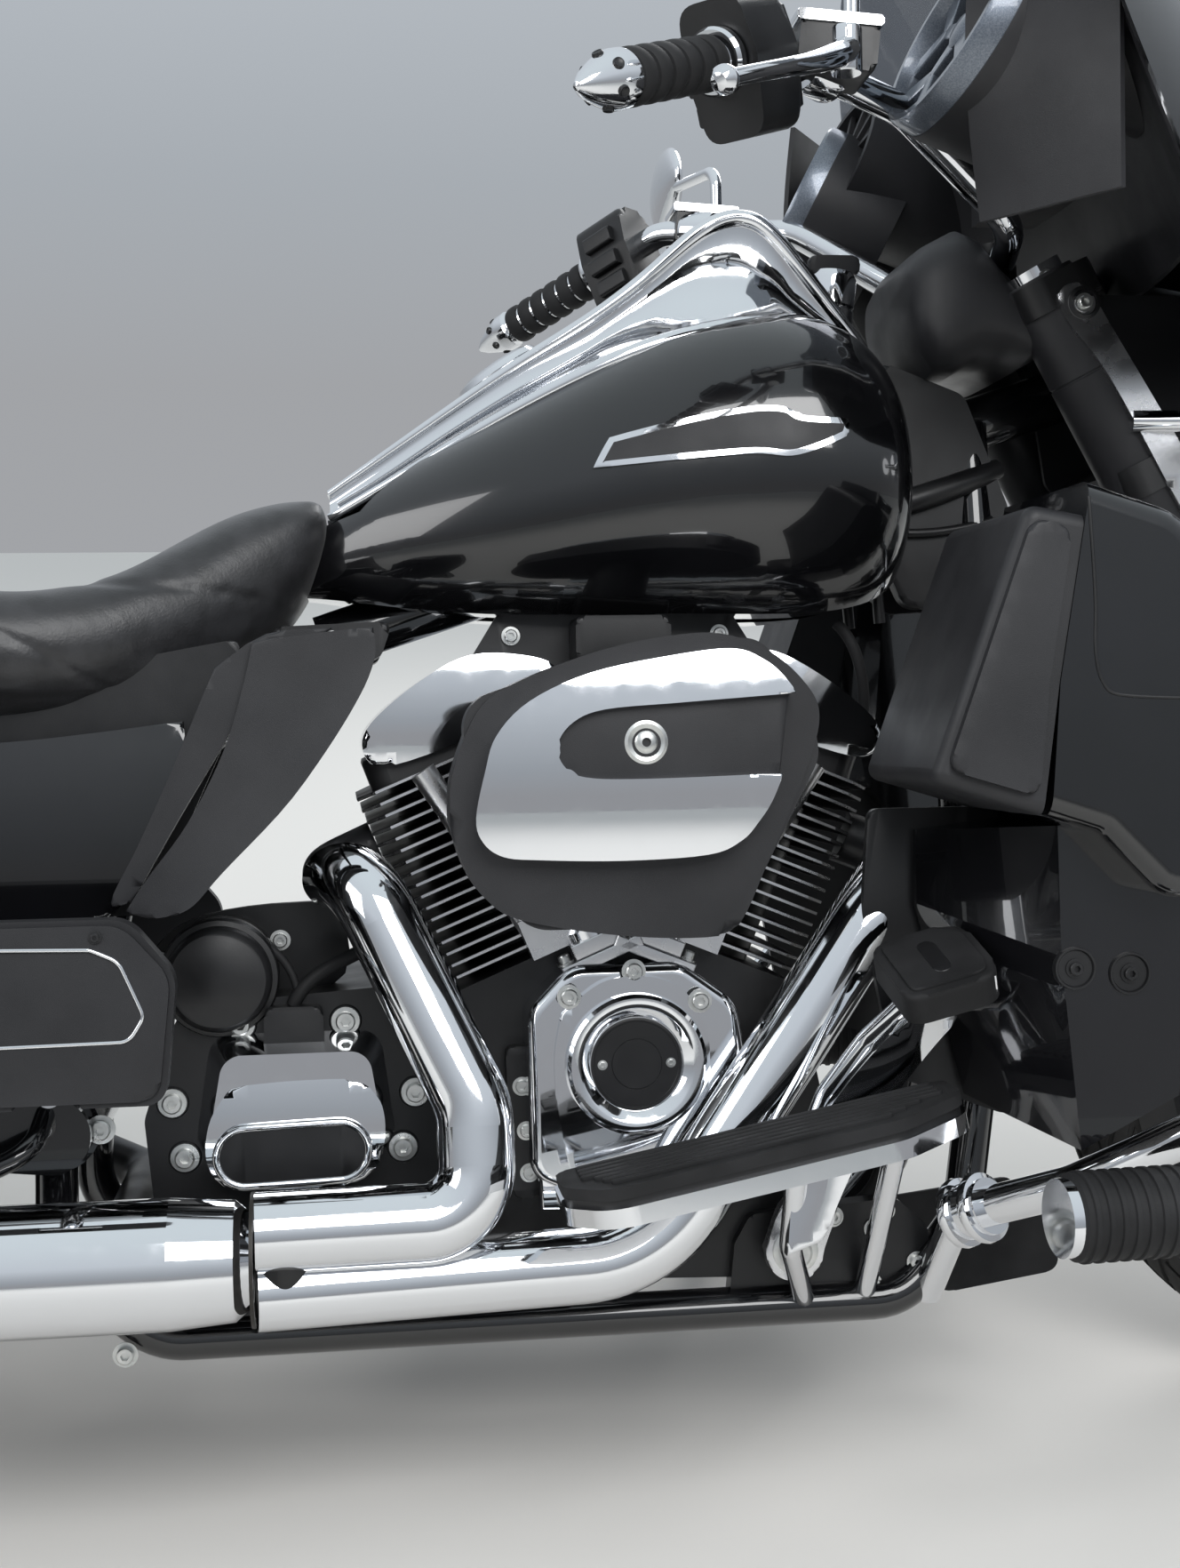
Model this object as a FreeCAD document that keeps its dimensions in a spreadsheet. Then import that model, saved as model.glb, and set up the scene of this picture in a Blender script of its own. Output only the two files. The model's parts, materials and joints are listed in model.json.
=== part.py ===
"""Touring cruiser motorcycle, parked leaning on its side stand.

Every piece is drawn on the upright motorcycle, in millimetres: X forward from the rear axle, Y to the
rider's left, Z up from the ground. One shared placement then leans the whole machine onto its stand.
"""
import FreeCAD, Part
import math
import os
from types import SimpleNamespace

V = FreeCAD.Vector
Turn = FreeCAD.Rotation
Place = FreeCAD.Placement

os.makedirs("parts", exist_ok=True)
doc = FreeCAD.newDocument("TouringCruiser")

# Driving dimensions
SIZES = (
    # name, value in millimetres or degrees, meaning
    ("wheelbase", 1625, "rear axle to front axle"),
    ("lean", 10, "lean to the left on the side stand"),
    ("origin_ahead", 652, "model origin ahead of the rear axle"),
    ("origin_aside", 180, "model origin left of the tyre line, on the ground"),
    ("tyre_radius", 320, "both tyres, at the crown"),
    ("front_tyre_width", 130, "front tyre section"),
    ("front_rim_radius", 229, "front rim edge"),
    ("rear_tyre_width", 180, "rear tyre section"),
    ("rear_rim_radius", 216, "rear rim edge"),
    ("rim_bead_step", 15, "rim edge inside the tyre side, each side"),
    ("spoke_count", 10, "spokes of a cast wheel"),
    ("hub_radius", 44, "wheel hub"),
    ("front_hub_half", 60, "front hub, half length"),
    ("rear_hub_half", 92, "rear hub, half length"),
    ("axle_radius", 12.5, "both axles"),
    ("axle_clearance", 0.5, "between an axle and its hub"),
    ("disc_radius", 150, "brake discs"),
    ("disc_thickness", 5, "brake discs"),
    ("rake", 26, "steering axis from the vertical"),
    ("steering_ahead", 1795, "steering axis at the ground, ahead of the rear axle"),
    ("fork_angle", 29.25, "fork legs from the vertical"),
    ("fork_half", 106, "fork leg from the centre plane"),
    ("slider_radius", 30, "fork slider"),
    ("slider_length", 330, "fork slider above the axle"),
    ("leg_radius", 24.5, "fork tube"),
    ("leg_length", 775, "fork tube top above the axle, along the leg"),
    ("lower_clamp_up", 560, "lower clamp above the axle, along the leg"),
    ("clamp_thickness", 28, "fork clamps"),
    ("stem_radius", 15, "steering stem"),
    ("neck_radius", 32, "steering head tube"),
    ("frame_tube", 17, "radius of the frame's tubes"),
    ("rail_half", 118, "bottom frame rails from the centre plane"),
    ("rail_height", 124, "bottom frame rails above the ground"),
    ("crank_ahead", 885, "crankshaft ahead of the rear axle"),
    ("crank_height", 262, "crankshaft above the ground"),
    ("bank_angle", 22.5, "each cylinder from the vertical"),
    ("case_half", 108, "crankcase, half width"),
    ("deck_height", 178, "cylinder base from the crankshaft"),
    ("fin_count", 17, "cooling fins of a cylinder and its head"),
    ("fin_pitch", 10.5, "from fin to fin"),
    ("fin_thickness", 3, "cooling fin"),
    ("grille_spokes", 12, "spokes of a speaker's grille"),
    ("fin_half_fore", 88, "fins, half size fore and aft"),
    ("fin_half_side", 96, "fins, half size across"),
    ("barrel_radius", 62, "cylinder under its fins"),
    ("rocker_height", 62, "rocker box and its cover"),
    ("primary_depth", 72, "primary cover, across"),
    ("primary_radius", 94, "primary cover, end radius"),
    ("clutch_behind", 300, "clutch shaft behind the crankshaft"),
    ("tank_rear", 622, "fuel tank's rear tip"),
    ("console_half", 62, "tank console, half width"),
    ("pipe_radius", 30, "exhaust header with its heat shield"),
    ("muffler_radius", 49, "muffler"),
    ("muffler_out", 236, "muffler from the centre plane"),
    ("guard_tube", 16, "radius of the engine guard's tube"),
    ("bag_wall", 4, "saddlebag and top box walls"),
    ("bag_inner", 168, "saddlebag's inner side from the centre plane"),
    ("bag_outer", 408, "saddlebag's outer side from the centre plane"),
    ("bag_rim", 606, "saddlebag's open rim above the ground"),
    ("box_half", 285, "top box, half width"),
    ("box_rim", 945, "top box's open rim above the ground"),
    ("board_hinge", 230, "rider footboard's hinge from the centre plane"),
    ("board_width", 118, "rider footboard across"),
    ("fairing_wall", 5, "moulded fairing walls"),
    ("bar_radius", 12.7, "handlebar tube"),
    ("grip_radius", 18, "rubber grip"),
    ("seat_gap", 0.3, "between a curved soft part and its neighbour"),
)

sheet = doc.addObject("Spreadsheet::Sheet", "Sizes")
for row, (name, value, meaning) in enumerate(SIZES, 1):
    sheet.set(f"A{row}", meaning)
    sheet.set(f"B{row}", str(value))
    sheet.setAlias(f"B{row}", name)
doc.recompute()
S = SimpleNamespace(**{name: float(sheet.get(name)) for name, _, _ in SIZES})

REAR_AXLE = V(0, 0, S.tyre_radius)
FRONT_AXLE = V(S.wheelbase, 0, S.tyre_radius)
CRANK = V(S.crank_ahead, 0, S.crank_height)
UP = V(0, 0, 1)
LEFT = V(0, 1, 0)


def parked():
    """The placement from the upright motorcycle to the parked one, its tyres on the ground."""
    crown = S.rear_tyre_width / 2
    tilt = math.radians(S.lean)
    lean = Turn(V(1, 0, 0), -S.lean)
    lift = crown * (1 - math.cos(tilt))
    return Place(V(-S.origin_ahead, -S.origin_aside, lift), lean)


PARKED = parked()
nodes = []


def finish_piece(piece, local=None):
    """Give a finished sub-part its place on the parked motorcycle."""
    piece.Placement = PARKED.multiply(local) if local else PARKED
    nodes.append(piece)
    return piece


def feature(label, shape, local=None):
    """A sub-part whose shape is worked out here, where no sketch or primitive fits."""
    piece = doc.addObject("Part::Feature", label)
    piece.Shape = shape
    return finish_piece(piece, local)


def new_body(label):
    """An empty body."""
    return doc.addObject("PartDesign::Body", label)


def origin_feature(body, role):
    """A plane or axis of a body's own origin."""
    return next(part for part in body.Origin.OriginFeatures if part.Role == role)


def add_sketch(body, role, edges, offset=0.0):
    """A sketch of edges on one of a body's origin planes, shifted along its normal."""
    sketch = body.newObject("Sketcher::SketchObject", "Outline")
    sketch.AttachmentSupport = [(origin_feature(body, role), "")]
    sketch.MapMode = "FlatFace"
    sketch.AttachmentOffset = Place(V(0, 0, offset), Turn())
    for edge in edges:
        sketch.addGeometry(edge, False)
    return sketch


def pad(body, edges, left, right, size=None):
    """Pad a side outline from y = left to y = right, with its length bound to the sheet if size is given."""
    sketch = add_sketch(body, "XZ_Plane", edges, -left)
    piece = body.newObject("PartDesign::Pad", "Pad")
    piece.Profile = sketch
    piece.Length = left - right
    if size:
        piece.setExpression("Length", size)
    return piece


def pocket(body, edges, left, right):
    """Cut a side outline out of a body from y = left to y = right."""
    sketch = add_sketch(body, "XZ_Plane", edges, -left)
    piece = body.newObject("PartDesign::Pocket", "Pocket")
    piece.Profile = sketch
    piece.Length = left - right
    piece.Reversed = True
    return piece


def revolve(body, edges, angle=360.0, plane="XY_Plane", axis="Y_Axis"):
    """Turn a half section about one of a body's axes."""
    sketch = add_sketch(body, plane, edges)
    piece = body.newObject("PartDesign::Revolution", "Revolution")
    piece.Profile = sketch
    piece.ReferenceAxis = (origin_feature(body, axis), [""])
    piece.Angle = angle
    return piece


def soften(body, radius, chosen):
    """Round those edges of a body's last feature whose bounding box passes a test."""
    doc.recompute()
    last = body.Tip
    names = [f"Edge{i}" for i, edge in enumerate(last.Shape.Edges, 1) if chosen(edge.BoundBox)]
    piece = body.newObject("PartDesign::Fillet", "Fillet")
    piece.Base = (last, names)
    piece.Radius = radius
    return piece


def pattern_round(body, feature_made, axis, count_name):
    """Repeat a feature about one of a body's axes, as many times as the sheet says."""
    piece = body.newObject("PartDesign::PolarPattern", "Pattern")
    piece.Originals = [feature_made]
    piece.Axis = (origin_feature(body, axis), [""])
    piece.Angle = 360
    piece.Occurrences = int(getattr(S, count_name))
    piece.setExpression("Occurrences", f"Sizes.{count_name}")
    body.Tip = piece
    return piece


def loft(body, role, stations, ruled=False, cut=False):
    """Loft a solid, or cut one, through sections (offset, edges) on parallel planes."""
    sketches = [add_sketch(body, role, edges, offset) for offset, edges in stations]
    kind = "PartDesign::SubtractiveLoft" if cut else "PartDesign::AdditiveLoft"
    piece = body.newObject(kind, "Loft")
    piece.Profile = sketches[0]
    piece.Sections = sketches[1:]
    piece.Ruled = ruled
    return piece


def pair(label, piece):
    """The piece and its mirror image across the centre plane, as one sub-part of two solids."""
    twin = doc.addObject("Part::Mirroring", label + "_twin")
    twin.Source = piece
    twin.Base = V(0, 0, 0)
    twin.Normal = LEFT
    both = doc.addObject("Part::Compound", label)
    both.Links = [piece, twin]
    return finish_piece(both)


def together(label, pieces):
    """Several pieces of one kind, bolted to the same body, as one sub-part."""
    group = doc.addObject("Part::Compound", label)
    group.Links = pieces
    return finish_piece(group)


def raw(label, shape):
    """A worked-out shape that goes into a group of pieces."""
    piece = doc.addObject("Part::Feature", label)
    piece.Shape = shape
    return piece


def flat(x, y):
    """A point of a sketch."""
    return V(x, y, 0)


def polygon(points):
    """The edges of a closed outline through flat points (x, y)."""
    corners = [flat(*point) for point in points]
    return [Part.LineSegment(a, b) for a, b in zip(corners, corners[1:] + corners[:1])]


def rounded(points):
    """A closed outline through (x, y, corner radius), its corners rounded by tangent arcs."""
    count = len(points)
    starts, ends, arcs = [], [], []
    for i, (x, y, radius) in enumerate(points):
        here = flat(x, y)
        before = flat(*points[i - 1][:2]) - here
        after = flat(*points[(i + 1) % count][:2]) - here
        half = before.getAngle(after) / 2
        reach = radius / math.tan(half)
        starts.append(here + before.normalize() * reach)
        ends.append(here + after.normalize() * reach)
        middle = (before + after).normalize()
        arcs.append(here + middle * (radius / math.sin(half) - radius))
    edges = []
    for i in range(count):
        if points[i][2] > 0:
            edges.append(Part.Arc(starts[i], arcs[i], ends[i]))
        following = (i + 1) % count
        edges.append(Part.LineSegment(ends[i], starts[following]))
    return edges


def ring(radius, x=0.0, y=0.0):
    """A circle as a sketch outline."""
    return [Part.Circle(flat(x, y), V(0, 0, 1), radius)]


def rounded_box(low_x, low_y, high_x, high_y, radius):
    """A rounded rectangle as a sketch outline."""
    return rounded([(low_x, low_y, radius), (high_x, low_y, radius), (high_x, high_y, radius), (low_x, high_y, radius)])


def slot(x1, y1, x2, y2, r1, r2):
    """The outline round two circles: two arcs joined by tangent lines."""
    a, b = flat(x1, y1), flat(x2, y2)
    along = b - a
    distance = along.Length
    heading = math.atan2(along.y, along.x)
    spread = math.acos((r1 - r2) / distance)

    def on(centre, radius, angle):
        return centre + flat(math.cos(angle), math.sin(angle)) * radius

    p1, p2 = on(a, r1, heading + spread), on(a, r1, heading - spread)
    q1, q2 = on(b, r2, heading + spread), on(b, r2, heading - spread)
    back = on(a, r1, heading + math.pi)
    front = on(b, r2, heading)
    return [Part.Arc(p1, back, p2), Part.LineSegment(p2, q2), Part.Arc(q2, front, q1), Part.LineSegment(q1, p1)]


def rod(a, b, radius):
    """A round bar from a to b."""
    return Part.makeCylinder(radius, (b - a).Length, a, b - a)


def rounded_path(points, bend):
    """A wire of straight runs joined by tangent arcs of radius bend, or as large as the runs allow."""
    edges = []
    start = points[0]
    for i in range(1, len(points) - 1):
        here = points[i]
        before, after = points[i - 1] - here, points[i + 1] - here
        half = before.getAngle(after) / 2
        reach = min(bend / math.tan(half), 0.48 * before.Length, 0.48 * after.Length)
        radius = reach * math.tan(half)
        entry = here + before.normalize() * reach
        leave = here + after.normalize() * reach
        middle = here + (before + after).normalize() * (radius / math.sin(half) - radius)
        edges.append(Part.makeLine(start, entry))
        edges.append(Part.Arc(entry, middle, leave).toShape())
        start = leave
    edges.append(Part.makeLine(start, points[-1]))
    return Part.Wire(edges)


def bent_tube(points, radius, bend):
    """A round tube, drawn solid, along straight runs and tangent bends."""
    path = rounded_path(points, bend)
    section = Part.Wire(Part.makeCircle(radius, points[0], points[1] - points[0]))
    return path.makePipeShell([section], True, False)


def mirrored(shape):
    """A shape's mirror image across the centre plane."""
    return shape.mirror(V(0, 0, 0), LEFT)


def fused(shapes):
    """Several shapes as one solid."""
    return shapes[0].multiFuse(shapes[1:]).removeSplitter()


def both_sides(points):
    """A run of points on the left, joined through the centre plane to its mirror on the right."""
    return points + [V(p.x, -p.y, p.z) for p in reversed(points) if p.y > 0]


def fork_point(up, aside=0.0, ahead=0.0):
    """A point given along the fork leg from the front axle, sideways, and square to the leg."""
    tilt = math.radians(S.fork_angle)
    return FRONT_AXLE + V(ahead * math.cos(tilt) - up * math.sin(tilt), aside, up * math.cos(tilt) + ahead * math.sin(tilt))


def steering_point(height):
    """The point of the steering axis at a height."""
    return V(S.steering_ahead - height * math.tan(math.radians(S.rake)), 0, height)


STEERING = V(-math.sin(math.radians(S.rake)), 0, math.cos(math.radians(S.rake)))


# Wheels and tyres
def tyre(label, width, rim_radius, axle):
    """A tyre as one closed ring: round crown, curved sides and a flat bead."""
    crown = width / 2
    shoulder = S.tyre_radius - crown
    bead = crown - S.rim_bead_step
    mid = (rim_radius + shoulder) / 2
    body = new_body(label)
    revolve(body, [
        Part.Arc(flat(shoulder, -crown), flat(S.tyre_radius, 0), flat(shoulder, crown)),
        Part.Arc(flat(shoulder, crown), flat(mid, crown - 0.22 * S.rim_bead_step), flat(rim_radius, bead)),
        Part.LineSegment(flat(rim_radius, bead), flat(rim_radius, -bead)),
        Part.Arc(flat(rim_radius, -bead), flat(mid, 0.22 * S.rim_bead_step - crown), flat(shoulder, -crown)),
    ])
    return finish_piece(body, Place(axle, Turn()))


RIM_CLEARANCE = 0.2
RIM_DEPTH = 30
SPOKE_HALF = 13


def cast_wheel(label, width, rim_radius, hub_half, axle):
    """A cast wheel: rim, tapered spokes and a bored hub in one piece."""
    edge = rim_radius - RIM_CLEARANCE
    half = width / 2 - S.rim_bead_step + 4
    floor = edge - RIM_DEPTH
    body = new_body(label)
    revolve(body, polygon([
        (edge, -half), (edge, half), (edge - 9, half), (floor + 8, half - 14), (floor, half - 30),
        (floor, 30 - half), (floor + 8, 14 - half), (edge - 9, -half),
    ]))
    spoke = pad(body, polygon([(-15, S.hub_radius - 14), (15, S.hub_radius - 14), (9, floor + 4), (-9, floor + 4)]),
                SPOKE_HALF, -SPOKE_HALF)
    pattern_round(body, spoke, "Y_Axis", "spoke_count")
    bore = S.axle_radius + S.axle_clearance
    revolve(body, polygon([(bore, -hub_half), (S.hub_radius, -hub_half), (S.hub_radius, hub_half), (bore, hub_half)]))
    return finish_piece(body, Place(axle, Turn()))


tyre("front_tyre", S.front_tyre_width, S.front_rim_radius, FRONT_AXLE)
tyre("rear_tyre", S.rear_tyre_width, S.rear_rim_radius, REAR_AXLE)
cast_wheel("front_wheel", S.front_tyre_width, S.front_rim_radius, S.front_hub_half, FRONT_AXLE)
cast_wheel("rear_wheel", S.rear_tyre_width, S.rear_rim_radius, S.rear_hub_half, REAR_AXLE)

DISC_HAT_RADIUS = 74


def brake_disc(inner_y):
    """A disc on its carrier, against the hub's end face."""
    body = new_body("Disc")
    bore = S.axle_radius + 8
    outer_y = inner_y + S.disc_thickness
    revolve(body, polygon([
        (bore, inner_y), (S.disc_radius, inner_y), (S.disc_radius, outer_y), (DISC_HAT_RADIUS, outer_y),
        (DISC_HAT_RADIUS - 6, outer_y + 3), (bore, outer_y + 3),
    ]))
    return body


front_disc = brake_disc(S.front_hub_half)
front_disc.Placement = Place(FRONT_AXLE, Turn())
pair("front_discs", front_disc)

rear_disc = brake_disc(S.rear_hub_half)
rear_disc.Placement = Place(REAR_AXLE, Turn(V(0, 0, 1), 180))

PULLEY_RADIUS = 108
PULLEY_WIDTH = 26
pulley = new_body("Pulley")
revolve(pulley, polygon([
    (S.axle_radius + 8, S.rear_hub_half), (PULLEY_RADIUS, S.rear_hub_half),
    (PULLEY_RADIUS, S.rear_hub_half + PULLEY_WIDTH), (PULLEY_RADIUS - 22, S.rear_hub_half + PULLEY_WIDTH),
    (PULLEY_RADIUS - 30, S.rear_hub_half + 12), (S.axle_radius + 8, S.rear_hub_half + 12),
]))
pulley.Placement = Place(REAR_AXLE, Turn())
together("rear_disc_and_pulley", [rear_disc, pulley])

# Axles, one round bar each, with a head outside what carries it
ARM_INNER = S.rear_hub_half + PULLEY_WIDTH + 10
ARM_THICKNESS = 26
REAR_AXLE_HALF = ARM_INNER + ARM_THICKNESS + 10
FRONT_AXLE_HALF = S.fork_half + S.slider_radius + 4


def axle(label, half, centre):
    """A bar across the motorcycle."""
    bar = doc.addObject("Part::Cylinder", label)
    bar.setExpression("Radius", "Sizes.axle_radius")
    bar.Height = 2 * half
    return finish_piece(bar, Place(centre - LEFT * half, Turn(V(1, 0, 0), -90)))


axle("rear_axle", REAR_AXLE_HALF, REAR_AXLE)
axle("front_axle", FRONT_AXLE_HALF, FRONT_AXLE)
front_bar = rod(FRONT_AXLE - LEFT * FRONT_AXLE_HALF, FRONT_AXLE + LEFT * FRONT_AXLE_HALF, S.axle_radius)
rear_bar = rod(REAR_AXLE - LEFT * REAR_AXLE_HALF, REAR_AXLE + LEFT * REAR_AXLE_HALF, S.axle_radius)

FENDER_WALL = 3
FENDER_SIDE = 5
FENDER_OUTER_HALF = S.front_tyre_width / 2 + FENDER_SIDE + FENDER_WALL
FENDER_STUD = 288

# Front fork: sliders, tubes, clamps with the handlebar's risers, and steering stem
GRIP_TIP = V(847, 407, 1046)
GRIP_ROOT = V(990, 267, 1117)
BAR_ELBOW = V(1110, 190, 1100)
BAR_BEND = 60
BAR_CENTRE = V(1236, 60, 1012)
bar_line = both_sides([GRIP_TIP, GRIP_ROOT, BAR_ELBOW, V(1218, 140, 1024), BAR_CENTRE])
SLIDER_FOOT = 34
leg = fused([
    rod(fork_point(-SLIDER_FOOT, S.fork_half), fork_point(S.slider_length, S.fork_half), S.slider_radius),
    rod(fork_point(S.slider_length - 10, S.fork_half), fork_point(S.leg_length, S.fork_half), S.leg_radius),
    rod(fork_point(FENDER_STUD, FENDER_OUTER_HALF), fork_point(FENDER_STUD, S.fork_half), 12),
])
legs = Part.makeCompound([leg, mirrored(leg)])
feature("fork_legs", legs.cut(front_bar))

CLAMP_EDGE = 32
BEARING_GAP = 1.5


def clamp(height_up):
    """A fork clamp: one plate round both legs and the stem, square to the steering axis."""
    centre = fork_point(height_up)
    along = centre.z
    stem_at = steering_point(along + 25)
    reach = (stem_at - centre).Length
    outline = [
        (-CLAMP_EDGE, S.fork_half + CLAMP_EDGE, 22), (-CLAMP_EDGE, -S.fork_half - CLAMP_EDGE, 22),
        (CLAMP_EDGE, -S.fork_half - CLAMP_EDGE, 22), (reach + 30, -30, 20), (reach + 30, 30, 20),
        (CLAMP_EDGE, S.fork_half + CLAMP_EDGE, 22),
    ]
    plate = Part.Face(Part.Wire([edge.toShape() for edge in rounded(outline)]))
    solid = plate.extrude(UP * S.clamp_thickness)
    solid.Placement = Place(centre, Turn(V(0, 1, 0), -S.rake))
    return solid


def axis_beside(up):
    """The point of the steering axis level with a clamp's lower face."""
    beside = fork_point(up)
    foot = steering_point(0)
    return foot + STEERING * (beside - foot).dot(STEERING)


UPPER_CLAMP_UP = S.leg_length - S.clamp_thickness - 12
neck_low = axis_beside(S.lower_clamp_up) + STEERING * (S.clamp_thickness + BEARING_GAP)
neck_top = axis_beside(UPPER_CLAMP_UP) - STEERING * BEARING_GAP
upper_clamp = clamp(UPPER_CLAMP_UP)
clamp_room = upper_clamp.copy()
clamp_room.translate(STEERING * -S.clamp_thickness)
lower_clamp = clamp(S.lower_clamp_up)
stem = rod(neck_low - STEERING * S.clamp_thickness, neck_top + STEERING * S.clamp_thickness, S.stem_radius)
RISER_RADIUS = 17
riser = rod(BAR_CENTRE + V(4, -14, -50), BAR_CENTRE + V(0, -14, S.bar_radius + 6), RISER_RADIUS)
bar_seat = bent_tube(bar_line, S.bar_radius + 0.05, BAR_BEND)
clamps = fused([upper_clamp, lower_clamp, stem, riser, mirrored(riser)]).cut(legs).cut(bar_seat)

# Brake calipers: blocks over the discs' rear edges, against the sliders
CALIPER_IN = 44
CALIPER_OUT = 98
CALIPER_ROOM = 3.5
CALIPER_TURN = -172
quarter = Part.makeCylinder(S.disc_radius + 12, CALIPER_OUT - CALIPER_IN, V(0, 0, 0), UP, 46)
quarter = quarter.cut(Part.makeCylinder(94, 200, V(0, 0, -50)))
disc_room = Part.makeCylinder(S.disc_radius + 4, S.disc_thickness + 2 * CALIPER_ROOM, V(0, 0, S.front_hub_half - CALIPER_IN - CALIPER_ROOM))
quarter = quarter.cut(disc_room)
quarter.Placement = Place(FRONT_AXLE + LEFT * CALIPER_OUT, Turn(V(1, 0, 0), 90))
quarter = quarter.mirror(V(0, (CALIPER_IN + CALIPER_OUT) / 2, 0), LEFT)
quarter.rotate(FRONT_AXLE, LEFT, CALIPER_TURN)
caliper = quarter.cut(leg)
feature("calipers", Part.makeCompound([caliper, mirrored(caliper)]))

# Front fender, turned about the axle
FENDER_GAP = 12
FENDER_SKIRT = 62
FENDER_TAIL = 170
fender = new_body("front_fender")
outer_half = FENDER_OUTER_HALF
inner_half = outer_half - FENDER_WALL
inner_r = S.tyre_radius + FENDER_GAP
outer_r = inner_r + FENDER_WALL
skirt_r = inner_r - FENDER_SKIRT
revolve(fender, [
    Part.LineSegment(flat(skirt_r, -outer_half), flat(inner_r - 30, -outer_half)),
    Part.Arc(flat(inner_r - 30, -outer_half), flat(outer_r, 0), flat(inner_r - 30, outer_half)),
    Part.LineSegment(flat(inner_r - 30, outer_half), flat(skirt_r, outer_half)),
    Part.LineSegment(flat(skirt_r, outer_half), flat(skirt_r, inner_half)),
    Part.LineSegment(flat(skirt_r, inner_half), flat(inner_r - 30, inner_half)),
    Part.Arc(flat(inner_r - 30, inner_half), flat(inner_r, 0), flat(inner_r - 30, -inner_half)),
    Part.LineSegment(flat(inner_r - 30, -inner_half), flat(skirt_r, -inner_half)),
    Part.LineSegment(flat(skirt_r, -inner_half), flat(skirt_r, -outer_half)),
], angle=150)
finish_piece(fender, Place(FRONT_AXLE, Turn(V(0, 1, 0), FENDER_TAIL)))

# Frame: steering head, backbone, downtubes, bottom rails and seat rails
neck_mid = (neck_low + neck_top) * 0.5
BACKBONE_REAR = V(640, 0, 690)
PIVOT = V(425, 0, 302)
RAIL_BEND = 60
ARM_PIVOT = V(347, 0, 302)
ARM_PIN = 10
ARM_OUTER = ARM_INNER + ARM_THICKNESS
ARM_PLATE = 8
REAR_FENDER_HALF = 112
SEAT_RAIL = 545
BAG_FLOOR = 292
MUFFLER_HEIGHT = 218
SEAT_LOW = 628
PANEL_INNER = 158
DEFLECTOR_INNER = 190
downtube = [
    V(1215, 26, 876), V(1218, 45, 700), V(1232, 62, 500), V(1176, S.rail_half - 12, 190), V(1120, S.rail_half, S.rail_height),
    V(500, S.rail_half, S.rail_height), V(420, S.rail_half, 190), V(425, S.rail_half, 360),
    V(470, 98, 560), V(640, 46, 690),
]
seat_rail = [V(470, 98, SEAT_RAIL), V(300, 120, SEAT_RAIL + 20), V(60, 142, SEAT_RAIL + 25), V(-230, 142, SEAT_RAIL + 25)]
backbone = rod(neck_mid, BACKBONE_REAR, 24)
side_tubes = [bent_tube(downtube, S.frame_tube, RAIL_BEND), bent_tube(seat_rail, 13, 40)]
cross_tubes = [
    rod(V(x, -half, z), V(x, half, z), 13)
    for x, z, half in ((1120, S.rail_height, S.rail_half), (520, S.rail_height, S.rail_half), (640, 690, 46))
]
cross_tubes += [rod(V(-150, side * (REAR_FENDER_HALF + 0.3), SEAT_RAIL + 25), V(-150, side * 142, SEAT_RAIL + 25), 10) for side in (1, -1)]
pivot_plates = rod(PIVOT - LEFT * (S.rail_half + 16), PIVOT + LEFT * (S.rail_half + 16), 34)
head = rod(neck_low, neck_top, S.neck_radius)
bore = rod(neck_low - STEERING * 5, neck_top + STEERING * 5, S.stem_radius + S.axle_clearance)

# the side stand's lug, a fork with its pin, and the line the stand swings about
STAND_PIVOT = V(985, 168, 138)
STAND_FOOT_AHEAD = 80
STAND_FOOT_OUT = 192
STAND_FOOT_THICKNESS = 8
STAND_EYE = 16
STAND_EYE_HALF = 12.5
STAND_PIN = 7
level = Turn(V(1, 0, 0), S.lean).multVec(UP)
stand_y = STAND_PIVOT.y + STAND_FOOT_OUT
lean = math.radians(S.lean)
ground_z = (stand_y * math.sin(lean) - PARKED.Base.z + STAND_FOOT_THICKNESS) / math.cos(lean)
stand_foot = V(STAND_PIVOT.x + STAND_FOOT_AHEAD, stand_y, ground_z)
STAND_UP = V(-0.995, 0.08, -0.04)
stand_axis = (stand_foot - STAND_PIVOT).normalize().cross(STAND_UP).normalize()
lug = fused([
    rod(STAND_PIVOT - stand_axis * 20, STAND_PIVOT + stand_axis * 20, STAND_EYE),
    rod(V(STAND_PIVOT.x, S.rail_half, S.rail_height), STAND_PIVOT + stand_axis * 16, 8),
    rod(V(STAND_PIVOT.x, S.rail_half, S.rail_height), STAND_PIVOT - stand_axis * 16, 8),
]).cut(rod(STAND_PIVOT - stand_axis * (STAND_EYE_HALF + 0.5), STAND_PIVOT + stand_axis * (STAND_EYE_HALF + 0.5), STAND_EYE + 8))
lug = fused([lug, rod(STAND_PIVOT - stand_axis * 18, STAND_PIVOT + stand_axis * 18, STAND_PIN)])

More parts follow.
